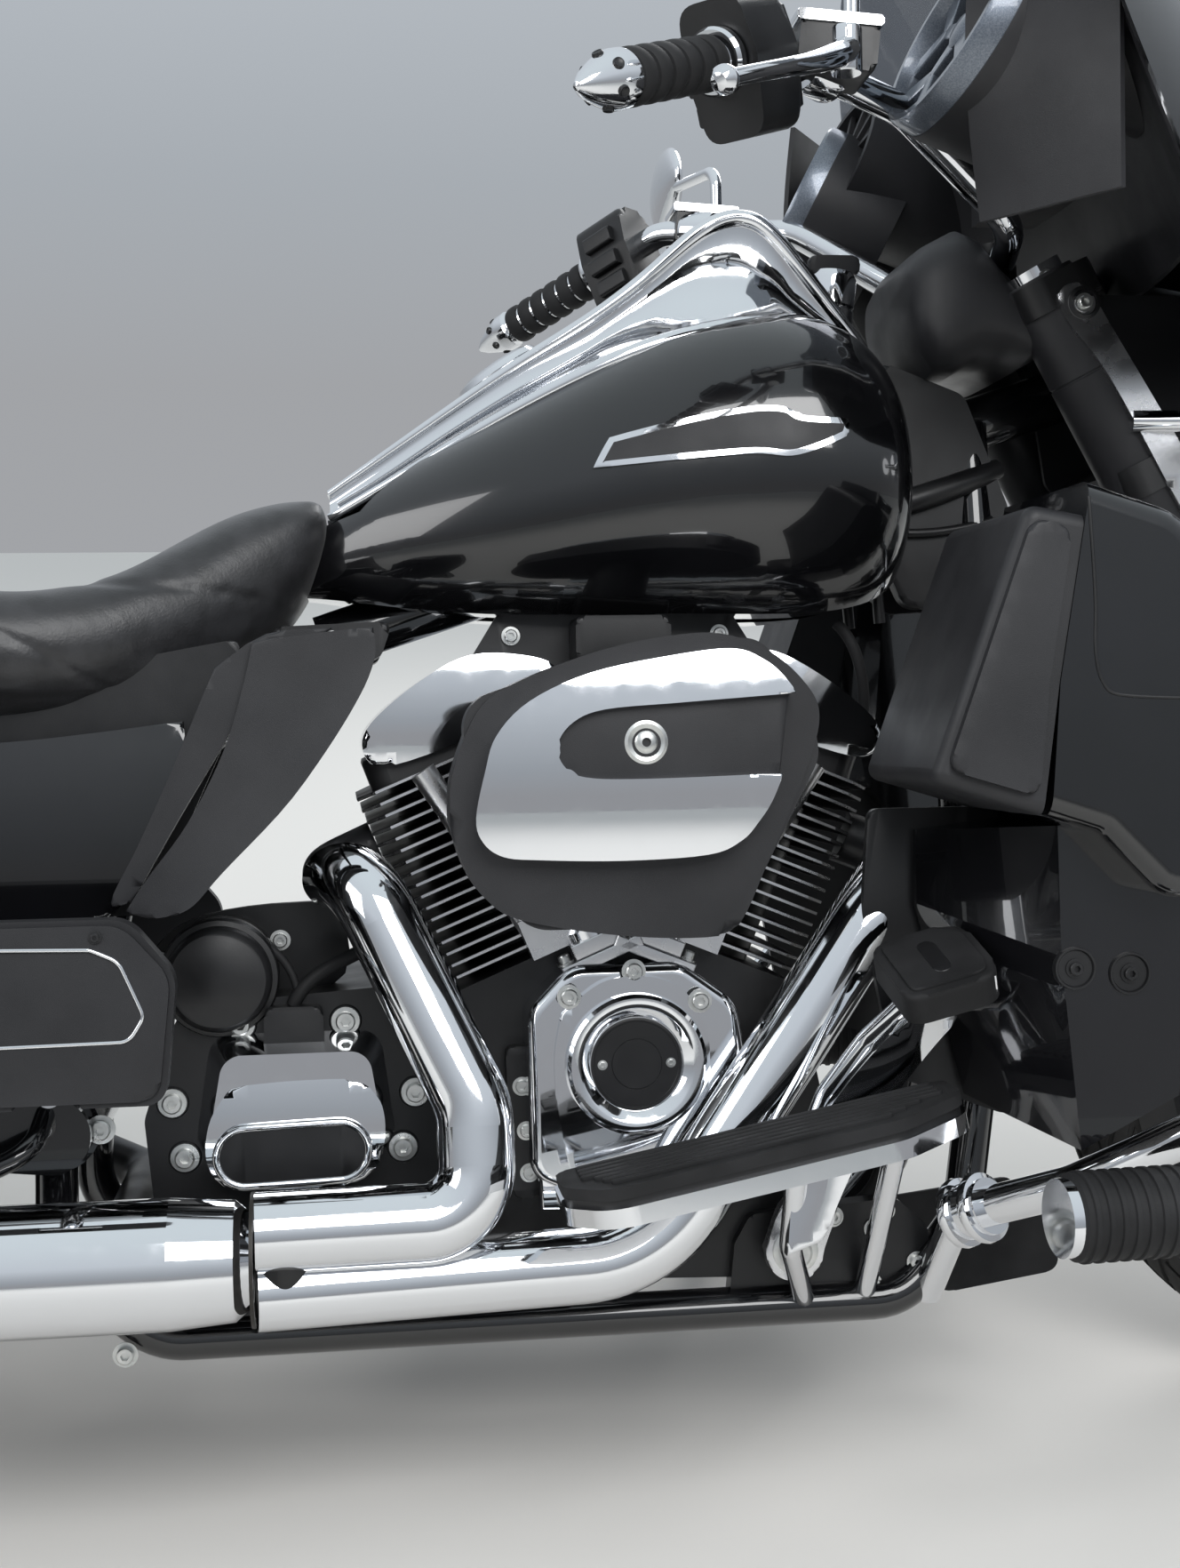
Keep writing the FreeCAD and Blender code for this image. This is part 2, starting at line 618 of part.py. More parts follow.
# rails that carry the saddlebags and hang the mufflers, and pegs that hold the side panels
BAG_RAIL = 8
BAG_RAIL_OUT = 200
bag_rail_z = BAG_FLOOR - BAG_RAIL - S.seat_gap
bag_rail = bent_tube([
    V(425, S.rail_half, 340), V(416, BAG_RAIL_OUT, 300), V(380, BAG_RAIL_OUT, bag_rail_z), V(-360, BAG_RAIL_OUT, bag_rail_z),
], BAG_RAIL, 30)
hanger_low = MUFFLER_HEIGHT + S.muffler_radius + S.seat_gap
hangers = [Part.makeBox(30, S.muffler_out - BAG_RAIL_OUT + 6, 12, V(x, BAG_RAIL_OUT, hanger_low)) for x in (190, -310)]
pegs = [
    rod(V(455, 98, 490), V(455, PANEL_INNER, 490), 8),
    rod(V(600, 56, 652), V(600, DEFLECTOR_INNER, 652), 8),
    rod(V(384, 109, 556), V(384, 109, SEAT_LOW - 1.5), 9),
]
plate_in = ARM_OUTER + S.seat_gap
arm_plate = Part.Face(Part.Wire([edge.toShape() for edge in slot(ARM_PIVOT.x, ARM_PIVOT.z, PIVOT.x, PIVOT.z, 22, 30)])).extrude(UP * ARM_PLATE)
arm_plate.Placement = Place(V(0, plate_in + ARM_PLATE, 0), Turn(V(1, 0, 0), 90))
arm_carrier = [
    arm_plate, rod(ARM_PIVOT + LEFT * (ARM_INNER + 2.5), ARM_PIVOT + LEFT * (plate_in + 2), ARM_PIN),
    rod(PIVOT + LEFT * S.rail_half, PIVOT + LEFT * (plate_in + 2), 28),
]
# the finned regulator below the front of the frame
REGULATOR_HALF = 68
regulator = Part.Face(Part.makePolygon([V(x, -REGULATOR_HALF, z) for x, z in (
    (1160, 152), (1172, 107), (1275, 130), (1259, 186), (1160, 152))])).extrude(LEFT * 2 * REGULATOR_HALF)
for i in range(8):
    groove = Part.makeBox(140, 7, 60, V(1150, -60.5 + 16.2 * i, 0))
    groove.Placement = Place(V(0, 0, 116), Turn(V(0, 1, 0), -12.6), V(1150, 0, 0)).multiply(Place(V(0, 0, -60), Turn()))
    regulator = regulator.cut(groove)
cross_tubes += [regulator, rod(V(1120, 0, S.rail_height), V(1180, 0, S.rail_height + 16), 9)]
one_side = side_tubes + [bag_rail] + hangers + pegs + arm_carrier
frame = fused([head, backbone, pivot_plates, lug] + one_side + [mirrored(tube) for tube in one_side] + cross_tubes).cut(bore)
feature("frame", frame)

# Swingarm, shocks and rear fender
ARM_OUTLINE = slot(REAR_AXLE.x, REAR_AXLE.z, ARM_PIVOT.x, ARM_PIVOT.z, 36, 26)
arm = new_body("Arm")
pad(arm, ARM_OUTLINE, ARM_INNER + ARM_THICKNESS, ARM_INNER)
pocket(arm, ring(S.axle_radius + 0.1, REAR_AXLE.x, REAR_AXLE.z), ARM_INNER + ARM_THICKNESS, ARM_INNER)
pocket(arm, ring(ARM_PIN + 0.1, ARM_PIVOT.x, ARM_PIVOT.z), ARM_INNER + ARM_THICKNESS, ARM_INNER)
arm_twin = doc.addObject("Part::Mirroring", "ArmTwin")
arm_twin.Source = arm
arm_twin.Normal = LEFT
cross = doc.addObject("Part::Cylinder", "ArmCross")
cross.Radius = 24
cross.Height = 2 * ARM_INNER + 4
cross.Placement = Place(V(ARM_PIVOT.x, ARM_INNER + 2, ARM_PIVOT.z), Turn(V(1, 0, 0), 90))
swingarm = doc.addObject("Part::MultiFuse", "swingarm")
swingarm.Shapes = [arm, arm_twin, cross]
finish_piece(swingarm)

SHOCK_FOOT = V(92, 0, 342)
SHOCK_TOP = V(155, 0, 552)
shock_y = ARM_INNER + ARM_THICKNESS / 2
shock_axis = (SHOCK_TOP - SHOCK_FOOT).normalize()
shock = rod(SHOCK_FOOT + LEFT * shock_y, SHOCK_TOP + LEFT * shock_y, 12).fuse(
    rod(SHOCK_FOOT + LEFT * shock_y + shock_axis * 52, SHOCK_TOP + LEFT * shock_y - shock_axis * 34, 24))
arm_block = Part.Face(Part.Wire([edge.toShape() for edge in ARM_OUTLINE])).extrude(UP * 400)
arm_block.Placement = Place(V(0, 200, 0), Turn(V(1, 0, 0), 90))
shock = shock.cut(arm_block).cut(frame)
feature("rear_shocks", Part.makeCompound([shock, mirrored(shock)]))

REAR_FENDER_WALL = 3
REAR_FENDER_TAIL = 176
rear_fender = new_body("rear_fender")
r_in = S.tyre_radius + 24
r_out = r_in + REAR_FENDER_WALL
h_out = REAR_FENDER_HALF
h_in = h_out - REAR_FENDER_WALL
r_low = r_in - 84
r_turn = r_in - 46
revolve(rear_fender, [
    Part.LineSegment(flat(r_low, -h_out), flat(r_turn, -h_out)),
    Part.Arc(flat(r_turn, -h_out), flat(r_out, 0), flat(r_turn, h_out)),
    Part.LineSegment(flat(r_turn, h_out), flat(r_low, h_out)),
    Part.LineSegment(flat(r_low, h_out), flat(r_low, h_in)),
    Part.LineSegment(flat(r_low, h_in), flat(r_turn, h_in)),
    Part.Arc(flat(r_turn, h_in), flat(r_in, 0), flat(r_turn, -h_in)),
    Part.LineSegment(flat(r_turn, -h_in), flat(r_low, -h_in)),
    Part.LineSegment(flat(r_low, -h_in), flat(r_low, -h_out)),
], angle=150)
finish_piece(rear_fender, Place(REAR_AXLE, Turn(V(0, 1, 0), REAR_FENDER_TAIL)))

# Engine: crankcase, two finned cylinders, rocker boxes and their covers
bank = math.radians(S.bank_angle)


def bank_point(side, along, across=0.0):
    """A point in a cylinder's own plane: along its axis from the crankshaft, and square to it, outwards."""
    return CRANK + V(side * (along * math.sin(bank) + across * math.cos(bank)), 0,
                     along * math.cos(bank) - across * math.sin(bank))


deck_front = bank_point(1, S.deck_height, S.fin_half_fore)
deck_rear = bank_point(-1, S.deck_height, S.fin_half_fore)
valley = S.crank_height + S.deck_height / math.cos(bank)
CASE_LOW = 146
case_outline = [
    (deck_rear.x - 6, CASE_LOW + 10, 12), (S.crank_ahead + 110, CASE_LOW, 40), (S.crank_ahead + 178, S.crank_height - 10, 46),
    (deck_front.x, deck_front.z, 6), (S.crank_ahead, valley, 10), (deck_rear.x, deck_rear.z, 6),
]
crankcase = new_body("crankcase")
pad(crankcase, rounded(case_outline), S.case_half, -S.case_half, "2 * Sizes.case_half")
finish_piece(crankcase)

HEAD_TOP = S.deck_height + S.fin_count * S.fin_pitch
CORNER = 16


def fin_outline(fore, side):
    """A fin's plan: a square with cut corners."""
    return polygon([
        (-fore + CORNER, -side), (fore - CORNER, -side), (fore, -side + CORNER), (fore, side - CORNER),
        (fore - CORNER, side), (-fore + CORNER, side), (-fore, side - CORNER), (-fore, -side + CORNER),
    ])


def cylinder(label, side):
    """A cylinder with its head: a barrel with a stack of fins, stood on the crankcase."""
    body = new_body("Barrel")
    core = body.newObject("PartDesign::Pad", "Core")
    core.Profile = add_sketch(body, "XY_Plane", ring(S.barrel_radius), S.deck_height)
    core.Length = HEAD_TOP - S.deck_height
    core.setExpression("Length", "Sizes.fin_count * Sizes.fin_pitch")
    fin = body.newObject("PartDesign::Pad", "Fin")
    fin.Profile = add_sketch(body, "XY_Plane", fin_outline(S.fin_half_fore, S.fin_half_side), S.deck_height + S.fin_pitch - S.fin_thickness)
    fin.Length = S.fin_thickness
    fin.setExpression("Length", "Sizes.fin_thickness")
    doc.recompute()
    stack = body.newObject("PartDesign::LinearPattern", "Fins")
    stack.Originals = [fin]
    stack.Direction = (origin_feature(body, "Z_Axis"), [""])
    stack.Length = (S.fin_count - 1) * S.fin_pitch
    stack.setExpression("Length", "(Sizes.fin_count - 1) * Sizes.fin_pitch")
    stack.Occurrences = int(S.fin_count)
    stack.setExpression("Occurrences", "Sizes.fin_count")
    body.Tip = stack
    body.Placement = Place(CRANK, Turn(V(0, 1, 0), side * S.bank_angle))
    return body


def fin_block(side):
    """The room a cylinder's fins take up, with a little air."""
    fore, across = S.fin_half_fore + S.seat_gap, S.fin_half_side + S.seat_gap
    block = Part.makeBox(2 * fore, 2 * across, HEAD_TOP - S.deck_height)
    block.Placement = Place(CRANK, Turn(V(0, 1, 0), side * S.bank_angle)).multiply(Place(V(-fore, -across, S.deck_height), Turn()))
    return block


HALF_SPACE = 600
VALLEY_GAP = 1.5
cylinders = []
for name, side in (("FrontCylinder", 1), ("RearCylinder", -1)):
    barrel = cylinder(name, side)
    other_half = doc.addObject("Part::Box", "OtherHalf")
    other_half.Length = HALF_SPACE
    other_half.Width = HALF_SPACE
    other_half.Height = HALF_SPACE
    start = CRANK.x - HALF_SPACE + VALLEY_GAP if side > 0 else CRANK.x - VALLEY_GAP
    other_half.Placement = Place(V(start, -HALF_SPACE / 2, 0), Turn())
    trimmed = doc.addObject("Part::Cut", name)
    trimmed.Base = barrel
    trimmed.Tool = other_half
    cylinders.append(trimmed)
together("cylinders", cylinders)

BOX_FORE = 78
BOX_SIDE = 92
LOWER_BOX = 0.42


def rocker_piece(side, low, high, fore, across, inset):
    """A box on a cylinder head, with rounded upright edges and drawn-in top."""
    body = new_body("Rocker")
    loft(body, "XY_Plane", [
        (low, rounded_box(-fore, -across, fore, across, 18)),
        (high - inset, rounded_box(-fore + 1, -across + 1, fore - 1, across - 1, 18)),
        (high, rounded_box(-fore + inset, -across + inset, fore - inset, across - inset, 18)),
    ], ruled=True)
    body.Placement = Place(CRANK, Turn(V(0, 1, 0), side * S.bank_angle))
    return body


box_top = HEAD_TOP + LOWER_BOX * S.rocker_height
for label, low, high, fore, across, inset in (
    ("rocker_boxes", HEAD_TOP, box_top, BOX_FORE - 4, BOX_SIDE - 4, 3),
    ("rocker_covers", box_top, HEAD_TOP + S.rocker_height, BOX_FORE, BOX_SIDE, 12),
):
    together(label, [rocker_piece(side, low, high, fore, across, inset) for side in (1, -1)])

# Cam cover with its round ring, lifter blocks and pushrod tubes, on the right
CAM_DEPTH = 46
CAM_CENTRE = V(S.crank_ahead + 2, 0, S.crank_height + 79)
CAM_RING = 56
CAM_INSERT = 38
CAM_RING_PROUD = 8
face = -S.case_half
cam_cover = new_body("CamCover")
pad(cam_cover, rounded([
    (CAM_CENTRE.x - 87, CAM_CENTRE.z - 92, 24), (CAM_CENTRE.x - 49, CAM_CENTRE.z - 109, 24),
    (CAM_CENTRE.x - 7, CAM_CENTRE.z - 109, 26), (CAM_CENTRE.x + 97, CAM_CENTRE.z - 18, 34),
    (CAM_CENTRE.x + 86, CAM_CENTRE.z + 46, 34), (CAM_CENTRE.x + 40, CAM_CENTRE.z + 80, 30),
    (CAM_CENTRE.x - 52, CAM_CENTRE.z + 80, 30), (CAM_CENTRE.x - 87, CAM_CENTRE.z + 44, 24),
]), face, face - CAM_DEPTH)
soften(cam_cover, 9, lambda box: box.YMax < face - CAM_DEPTH + 0.1)
pad(cam_cover, ring(CAM_RING, CAM_CENTRE.x, CAM_CENTRE.z), face - CAM_DEPTH, face - CAM_DEPTH - CAM_RING_PROUD)
pocket(cam_cover, ring(CAM_INSERT, CAM_CENTRE.x, CAM_CENTRE.z), face - CAM_DEPTH - CAM_RING_PROUD + 5, face - CAM_DEPTH - CAM_RING_PROUD)

TUBE_OUT = S.fin_half_side + 17
PUSHROD_RADIUS = 11
BLOCK_HEIGHT = 34
BLOCK_HALF = 27
tubes = []
for side in (1, -1):
    block = Part.makeBox(2 * BLOCK_HALF, 2 * PUSHROD_RADIUS + 8, BLOCK_HEIGHT)
    block.Placement = Place(CRANK, Turn(V(0, 1, 0), side * S.bank_angle)).multiply(
        Place(V(-BLOCK_HALF - side * 18, -TUBE_OUT - PUSHROD_RADIUS - 4, S.deck_height), Turn()))
    stack = [block]
    for shift in (-14, 14):
        foot = bank_point(side, S.deck_height + 8, -18 + shift) - LEFT * TUBE_OUT
        top = bank_point(side, HEAD_TOP, 2 + shift * 2) - LEFT * TUBE_OUT
        stack.append(rod(foot, top, PUSHROD_RADIUS))
    tubes.append(fused(stack))
feature("pushrod_tubes", Part.makeCompound(tubes))

# Air cleaner on the right: backplate, intake and cover
CLEANER_FACE = 286
CLEANER_DEPTH = 36
BACKPLATE_DEPTH = 38
INTAKE_RADIUS = 30
INTAKE_HEIGHT = 606
RECESS_DEPTH = 9
CLEANER_BOLT = 17
cleaner_back = CLEANER_DEPTH - CLEANER_FACE
cleaner = new_body("air_cleaner")
pad(cleaner, rounded([
    (737, 515, 26), (948, 511, 28), (1006, 624, 24), (968, 685, 28), (884, 685, 60), (738, 636, 30),
]), cleaner_back, -CLEANER_FACE)
soften(cleaner, 20, lambda box: box.YMax < 0.1 - CLEANER_FACE)
pocket(cleaner, slot(846, 602, 962, 600, 28, 25), RECESS_DEPTH - CLEANER_FACE, -CLEANER_FACE - 1)
pad(cleaner, ring(CLEANER_BOLT, 881, 602), RECESS_DEPTH - CLEANER_FACE, RECESS_DEPTH - CLEANER_FACE - 7)
finish_piece(cleaner)

backing = new_body("Backplate")
pad(backing, rounded([
    (750, 520, 26), (792, 461, 34), (954, 461, 34), (1020, 588, 30), (1012, 640, 24), (972, 680, 26), (884, 680, 58), (746, 634, 28),
]), cleaner_back + BACKPLATE_DEPTH, cleaner_back)
soften(backing, 10, lambda box: box.YMin > cleaner_back + BACKPLATE_DEPTH - 0.1)
doc.recompute()
backplate = backing.Tip.Shape
intake_at = V(CRANK.x, 0, INTAKE_HEIGHT)
intake = fused([
    backplate, rod(intake_at, intake_at - LEFT * (CLEANER_FACE - CLEANER_DEPTH - BACKPLATE_DEPTH + 8), INTAKE_RADIUS),
    rod(intake_at - V(62, 0, 0), intake_at + V(62, 0, 0), INTAKE_RADIUS - 6),
]).cut(fin_block(1)).cut(fin_block(-1))
feature("air_cleaner_backplate", intake)

# Horn with its cover on the left, on a stalk from the intake
HORN_BACK = S.fin_half_side + 8
horn = new_body("HornCover")
pad(horn, rounded([(846, 474, 20), (924, 474, 20), (944, 640, 34), (826, 640, 34)]), HORN_BACK + 44, HORN_BACK)
soften(horn, 14, lambda box: box.YMin > HORN_BACK + 43.9)
doc.recompute()
stalk = rod(intake_at + LEFT * 10, intake_at + LEFT * (HORN_BACK + 4), 9).cut(intake)
feature("horn", max(fused([horn.Tip.Shape, stalk]).Solids, key=lambda solid: solid.Volume))

# Left side: primary cover over the belt drive to the gearbox
primary = new_body("PrimaryCover")
pad(primary, slot(CRANK.x - S.clutch_behind, CRANK.z + 12, CRANK.x, CRANK.z, S.primary_radius + 8, S.primary_radius),
    S.case_half + S.primary_depth, S.case_half, "Sizes.primary_depth")
soften(primary, 16, lambda box: box.YMin > S.case_half + S.primary_depth - 0.1)
for x, z, radius in ((CRANK.x - S.clutch_behind, CRANK.z + 12, 68), (CRANK.x, CRANK.z, 44)):
    pad(primary, ring(radius, x, z), S.case_half + S.primary_depth + 5, S.case_half + S.primary_depth)

# Gearbox behind the crankcase, with its bright top cover
GEARBOX_HALF = 104


def case_rear(z):
    """The crankcase's rear face at a height."""
    return deck_rear.x - 6 * (deck_rear.z - z) / (deck_rear.z - CASE_LOW - 10)


gearbox = new_body("gearbox")
pad(gearbox, rounded([
    (498, 214, 26), (case_rear(172), 172, 4), (case_rear(384), 384, 4), (700, 404, 10), (520, 392, 30), (490, 300, 20),
]), GEARBOX_HALF - 8, -GEARBOX_HALF)
filler = gearbox.newObject("PartDesign::Pad", "Filler")
filler.Profile = add_sketch(gearbox, "XY_Plane", ring(21, 562, -72), 380)
filler.Length = 44
finish_piece(gearbox)
side_cover = new_body("GearboxCover")
loft(side_cover, "XZ_Plane", [
    (GEARBOX_HALF, rounded([(528, 262, 26), (696, 262, 26), (682, 368, 20), (545, 368, 20)])),
    (GEARBOX_HALF + 34, rounded([(540, 268, 24), (686, 268, 24), (672, 356, 18), (556, 356, 18)])),
], ruled=True)
together("engine_covers", [cam_cover, primary, side_cover])

# Exhaust: two headers into one muffler on the right, a crossover to the one on the left
out = -S.muffler_out
MUFFLER_FRONT = 583
PORT_DOWN = 46
PORT_OUT = S.fin_half_fore + 0.5
PORT_ASIDE = 52
port_out = [
    (PORT_OUT, PORT_ASIDE),
    (PORT_OUT + 52, PORT_ASIDE + 30),
]


def headers(radius):
    """Both header pipes at a radius, each from its port to the muffler."""
    starts = {side: [bank_point(side, HEAD_TOP - PORT_DOWN, across) - LEFT * aside for across, aside in port_out] for side in (1, -1)}
    return [
        bent_tube(starts[1] + [V(1098, -176, 486), V(892, -194, 190), V(MUFFLER_FRONT, out + 12, 190)], radius, 110),
        bent_tube(starts[-1] + [V(668, -164, 500), V(752, -212, 322), V(752, -228, 238), V(MUFFLER_FRONT, out, 238)], radius, 66),
    ]


PIPE = 23
crossover_start, crossover_turn = V(650, -216, 196), V(600, -148, 200)
crossover = bent_tube([
    crossover_start, crossover_turn, V(468, -148, 200), V(468, 148, 200), V(380, S.muffler_out, MUFFLER_HEIGHT),
    V(300 + S.seat_gap, S.muffler_out, MUFFLER_HEIGHT),
], 20, 44)
collector = rod(V(604, -229, 190), V(604, -236, 238), 20)
pipes = fused(headers(PIPE) + [crossover, collector]).cut(fin_block(1)).cut(fin_block(-1))
feature("exhaust_headers", pipes)

# Bright heat shields, sleeves round the headers below their dark elbows
SHIELD_START = 100
shields = fused(headers(S.pipe_radius))
for side in (1, -1):
    port = bank_point(side, HEAD_TOP - PORT_DOWN, PORT_OUT) - LEFT * PORT_ASIDE
    shields = shields.cut(Part.makeSphere(SHIELD_START, port))
for tube in headers(PIPE + S.seat_gap):
    shields = shields.cut(tube)
shields = shields.cut(rod(crossover_start, crossover_turn, 20.3)).cut(rod(V(604, -229, 190), V(604, -236, 238), 20.3))
feature("heat_shields", shields)

MUFFLER_REAR = -430


def muffler(y, front):
    """A muffler: a long round can with a drawn-in rear end."""
    radius = S.muffler_radius
    length = front - MUFFLER_REAR
    body = new_body("Muffler")
    revolve(body, polygon([
        (0, 0), (radius - 14, 0), (radius - 4, 12), (radius, 60), (radius, length - 40), (radius - 10, length), (0, length),
    ]))
    body.Placement = Place(V(front, y, MUFFLER_HEIGHT), Turn(V(0, 0, 1), 90))
    return body


together("mufflers", [muffler(-S.muffler_out, MUFFLER_FRONT - 2), muffler(S.muffler_out, 300)])

# Fuel tank and the console along its top
CONSOLE_FLOOR = [(640, 786), (900, 872), (1112, 883)]
CHANNEL = [(560, 742)] + CONSOLE_FLOOR + [(1200, 883), (1200, 1100), (560, 1100)]


def tank_section(width, low, high, crest):
    """A tank section: flat belly, bulged sides and a crowned top."""
    belly = width * 0.62
    bulge = low + (high - low) * 0.44
    edge = width * 0.60
    return [
        Part.LineSegment(flat(-belly, low), flat(belly, low)),
        Part.Arc(flat(belly, low), flat(width, bulge), flat(edge, high)),
        Part.Arc(flat(edge, high), flat(0, crest), flat(-edge, high)),
        Part.Arc(flat(-edge, high), flat(-width, bulge), flat(-belly, low)),
    ]


TANK = (
    # behind the first section, half width, belly, shoulder, crest
    (0, 34, 728, 768, 776),
    (95, 96, 716, 836, 856),
    (235, 148, 708, 905, 926),
    (395, 170, 706, 954, 976),
    (480, 158, 716, 934, 956),
    (516, 112, 752, 884, 900),
)
tank = new_body("Tank")
loft(tank, "YZ_Plane", [(S.tank_rear + x, tank_section(*sizes)) for x, *sizes in TANK])
channel = new_body("Channel")
pad(channel, polygon(CHANNEL), S.console_half, -S.console_half, "2 * Sizes.console_half")
TUNNEL_HALF = 30
TUNNEL_ROOF = 25.6


def backbone_height(x):
    """The height of the backbone's centre line at x."""
    share = (x - BACKBONE_REAR.x) / (neck_mid.x - BACKBONE_REAR.x)
    return BACKBONE_REAR.z + share * (neck_mid.z - BACKBONE_REAR.z)


tunnel = new_body("Tunnel")
pad(tunnel, polygon([(560, 600), (1250, 600), (1250, backbone_height(1250) + TUNNEL_ROOF), (560, backbone_height(560) + TUNNEL_ROOF)]),
    TUNNEL_HALF, -TUNNEL_HALF)
hollows = doc.addObject("Part::MultiFuse", "TankHollows")
hollows.Shapes = [channel, tunnel]
fuel_tank = doc.addObject("Part::Cut", "fuel_tank")
fuel_tank.Base = tank
fuel_tank.Tool = hollows
finish_piece(fuel_tank)

console = new_body("console")
pad(console, rounded([(x, z, 0) for x, z in CONSOLE_FLOOR] + [
    (1112, 966, 8), (1056, 992, 26), (1034, 1052, 22), (976, 1050, 30), (912, 976, 50), (640, 812, 0),
]), S.console_half - 1, 1 - S.console_half)
soften(console, 12, lambda box: box.YLength < 0.1 and box.ZMin > 804 and box.XMax < 1111)
console.newObject("PartDesign::AdditiveCylinder", "IgnitionKnob")
console.Tip.Radius = 21
console.Tip.Height = 62
console.Tip.Placement = Place(V(1086, 0, 950), Turn(V(0, 1, 0), 6))
console.newObject("PartDesign::AdditiveBox", "IgnitionWing")
console.Tip.Length = 50
console.Tip.Width = 12
console.Tip.Height = 12
console.Tip.Placement = Place(V(1066, -6, 1008), Turn(V(0, 1, 0), 6))
finish_piece(console)

# Seat: rider's dish and passenger's pillion in one upholstered piece
SEAT = (
    # ahead of the rear axle, half width, low, high, corner radius
    (612, 56, 740, 828, 24),
    (560, 92, 668, 794, 34),
    (470, 150, 640, 750, 40),
    (384, 182, SEAT_LOW, 738, 40),
    (306, 190, 624, 752, 40),
    (262, 182, 640, 822, 40),
    (150, 168, 664, 850, 40),
    (-10, 158, 686, 852, 40),
    (-128, 128, 692, 838, 34),
)
seat = new_body("Saddle")
loft(seat, "YZ_Plane", [(x, rounded_box(-half, low, half, high, corner)) for x, half, low, high, corner in SEAT])

# Side covers below the seat and air deflectors beside the rear cylinder
panel = new_body("SideCover")
pad(panel, rounded([(300, 592, 20), (534, 597, 14), (520, 560, 20), (462, 474, 20), (330, 470, 30)]), PANEL_INNER + 20, PANEL_INNER)
soften(panel, 12, lambda box: box.YMin > PANEL_INNER + 19.9)
deflector = new_body("Deflector")
pad(deflector, rounded([(484, 475, 14), (548, 475, 20), (666, 609, 30), (685, 694, 14), (592, 687, 20)]), DEFLECTOR_INNER + 18, DEFLECTOR_INNER)
soften(deflector, 13, lambda box: box.YMin > DEFLECTOR_INNER + 17.9)
panels = doc.addObject("Part::Compound", "Panels")
panels.Links = [panel, deflector]
pair("side_panels", panels)


# Saddlebags, hollow, each with a lid hinged at its outer edge
BAG = (
    # ahead of the rear axle, inner side, outer side and floor: differences from the full size
    (236, 0, 62, 70),
    (150, 0, 10, 18),
    (-180, 0, 0, 0),
    (-370, 0, 16, 26),
    (-440, 0, 60, 74),
)
LID_HEIGHT = 44
LID_SEAM = 0.3


def open_section(rows_rim, wall, floor_shift, above):
    """Sections whose top is cut square at the rim."""
    rows = []
    for i, (x, inner, outer, floor) in enumerate(BAG):
        end = wall if i == 0 else -wall if i == len(BAG) - 1 else 0
        a, b = S.bag_inner + inner + wall, S.bag_outer - outer - wall
        low = BAG_FLOOR + floor + floor_shift
        rows.append((x - end, rounded([(a, low, 26), (b, low, 30), (b, rows_rim + above, 2), (a, rows_rim + above, 2)])))
    return rows


def saddlebag():
    """One open bag on the left."""
    body = new_body("Bag")
    loft(body, "YZ_Plane", open_section(S.bag_rim, 0, 0, 0), ruled=True)
    loft(body, "YZ_Plane", open_section(S.bag_rim, S.bag_wall, S.bag_wall, 30), ruled=True, cut=True)
    return body


def saddlebag_lid():
    """One domed lid on the left."""
    body = new_body("Lid")
    low = S.bag_rim + LID_SEAM
    rows = []
    for x, inner, outer, _ in BAG:
        a, b = S.bag_inner + inner, S.bag_outer - outer
        rows.append((x, rounded([(a, low, 1), (b, low, 1), (b, low + LID_HEIGHT, 24), (a, low + LID_HEIGHT, 20)])))
    loft(body, "YZ_Plane", rows, ruled=True)
    return body


def left_and_right(label, piece):
    """The piece and its mirror image as two sub-parts, LABEL_left and LABEL_right."""
    twin = doc.addObject("Part::Mirroring", label + "_right")
    twin.Source = piece
    twin.Normal = LEFT
    holder = doc.addObject("Part::Compound", label + "_left")
    holder.Links = [piece]
    finish_piece(holder)
    finish_piece(twin)


pair("saddlebags", saddlebag())
left_and_right("saddlebag_lid", saddlebag_lid())

# Top box behind the passenger, its lid and the backrest on its front
BOX_FRONT = -186
BOX_REAR = -640
BOX_FLOOR = 830
BOX_LID = 118
top_box = new_body("top_box")
box_pad = top_box.newObject("PartDesign::Pad", "Pad")
box_pad.Profile = add_sketch(top_box, "XY_Plane", rounded_box(BOX_REAR, -S.box_half, BOX_FRONT, S.box_half, 70), BOX_FLOOR)
box_pad.Length = S.box_rim - BOX_FLOOR
box_pad.setExpression("Length", f"Sizes.box_rim - {BOX_FLOOR}")
hollow = top_box.newObject("PartDesign::Pocket", "Pocket")
hollow.Profile = add_sketch(top_box, "XY_Plane", rounded_box(
    BOX_REAR + S.bag_wall, -S.box_half + S.bag_wall, BOX_FRONT - S.bag_wall, S.box_half - S.bag_wall, 66), BOX_FLOOR + S.bag_wall)
hollow.Length = S.box_rim - BOX_FLOOR
hollow.Reversed = True
finish_piece(top_box)

box_lid = new_body("top_box_lid")
loft(box_lid, "XY_Plane", [
    (S.box_rim + LID_SEAM, rounded_box(BOX_REAR, -S.box_half, BOX_FRONT - 6, S.box_half, 68)),
    (S.box_rim + BOX_LID * 0.55, rounded_box(BOX_REAR + 6, -S.box_half + 8, BOX_FRONT - 8, S.box_half - 8, 68)),
    (S.box_rim + BOX_LID, rounded_box(BOX_REAR + 46, -S.box_half + 52, BOX_FRONT - 34, S.box_half - 52, 60)),
], ruled=True)
finish_piece(box_lid)

backrest = new_body("Backrest")
loft(backrest, "YZ_Plane", [
    (BOX_FRONT + S.seat_gap, rounded_box(-205, 872, 205, S.box_rim + 92, 40)),
    (BOX_FRONT + 52, rounded_box(-186, 884, 186, S.box_rim + 78, 40)),
])
together("seat", [seat, backrest])

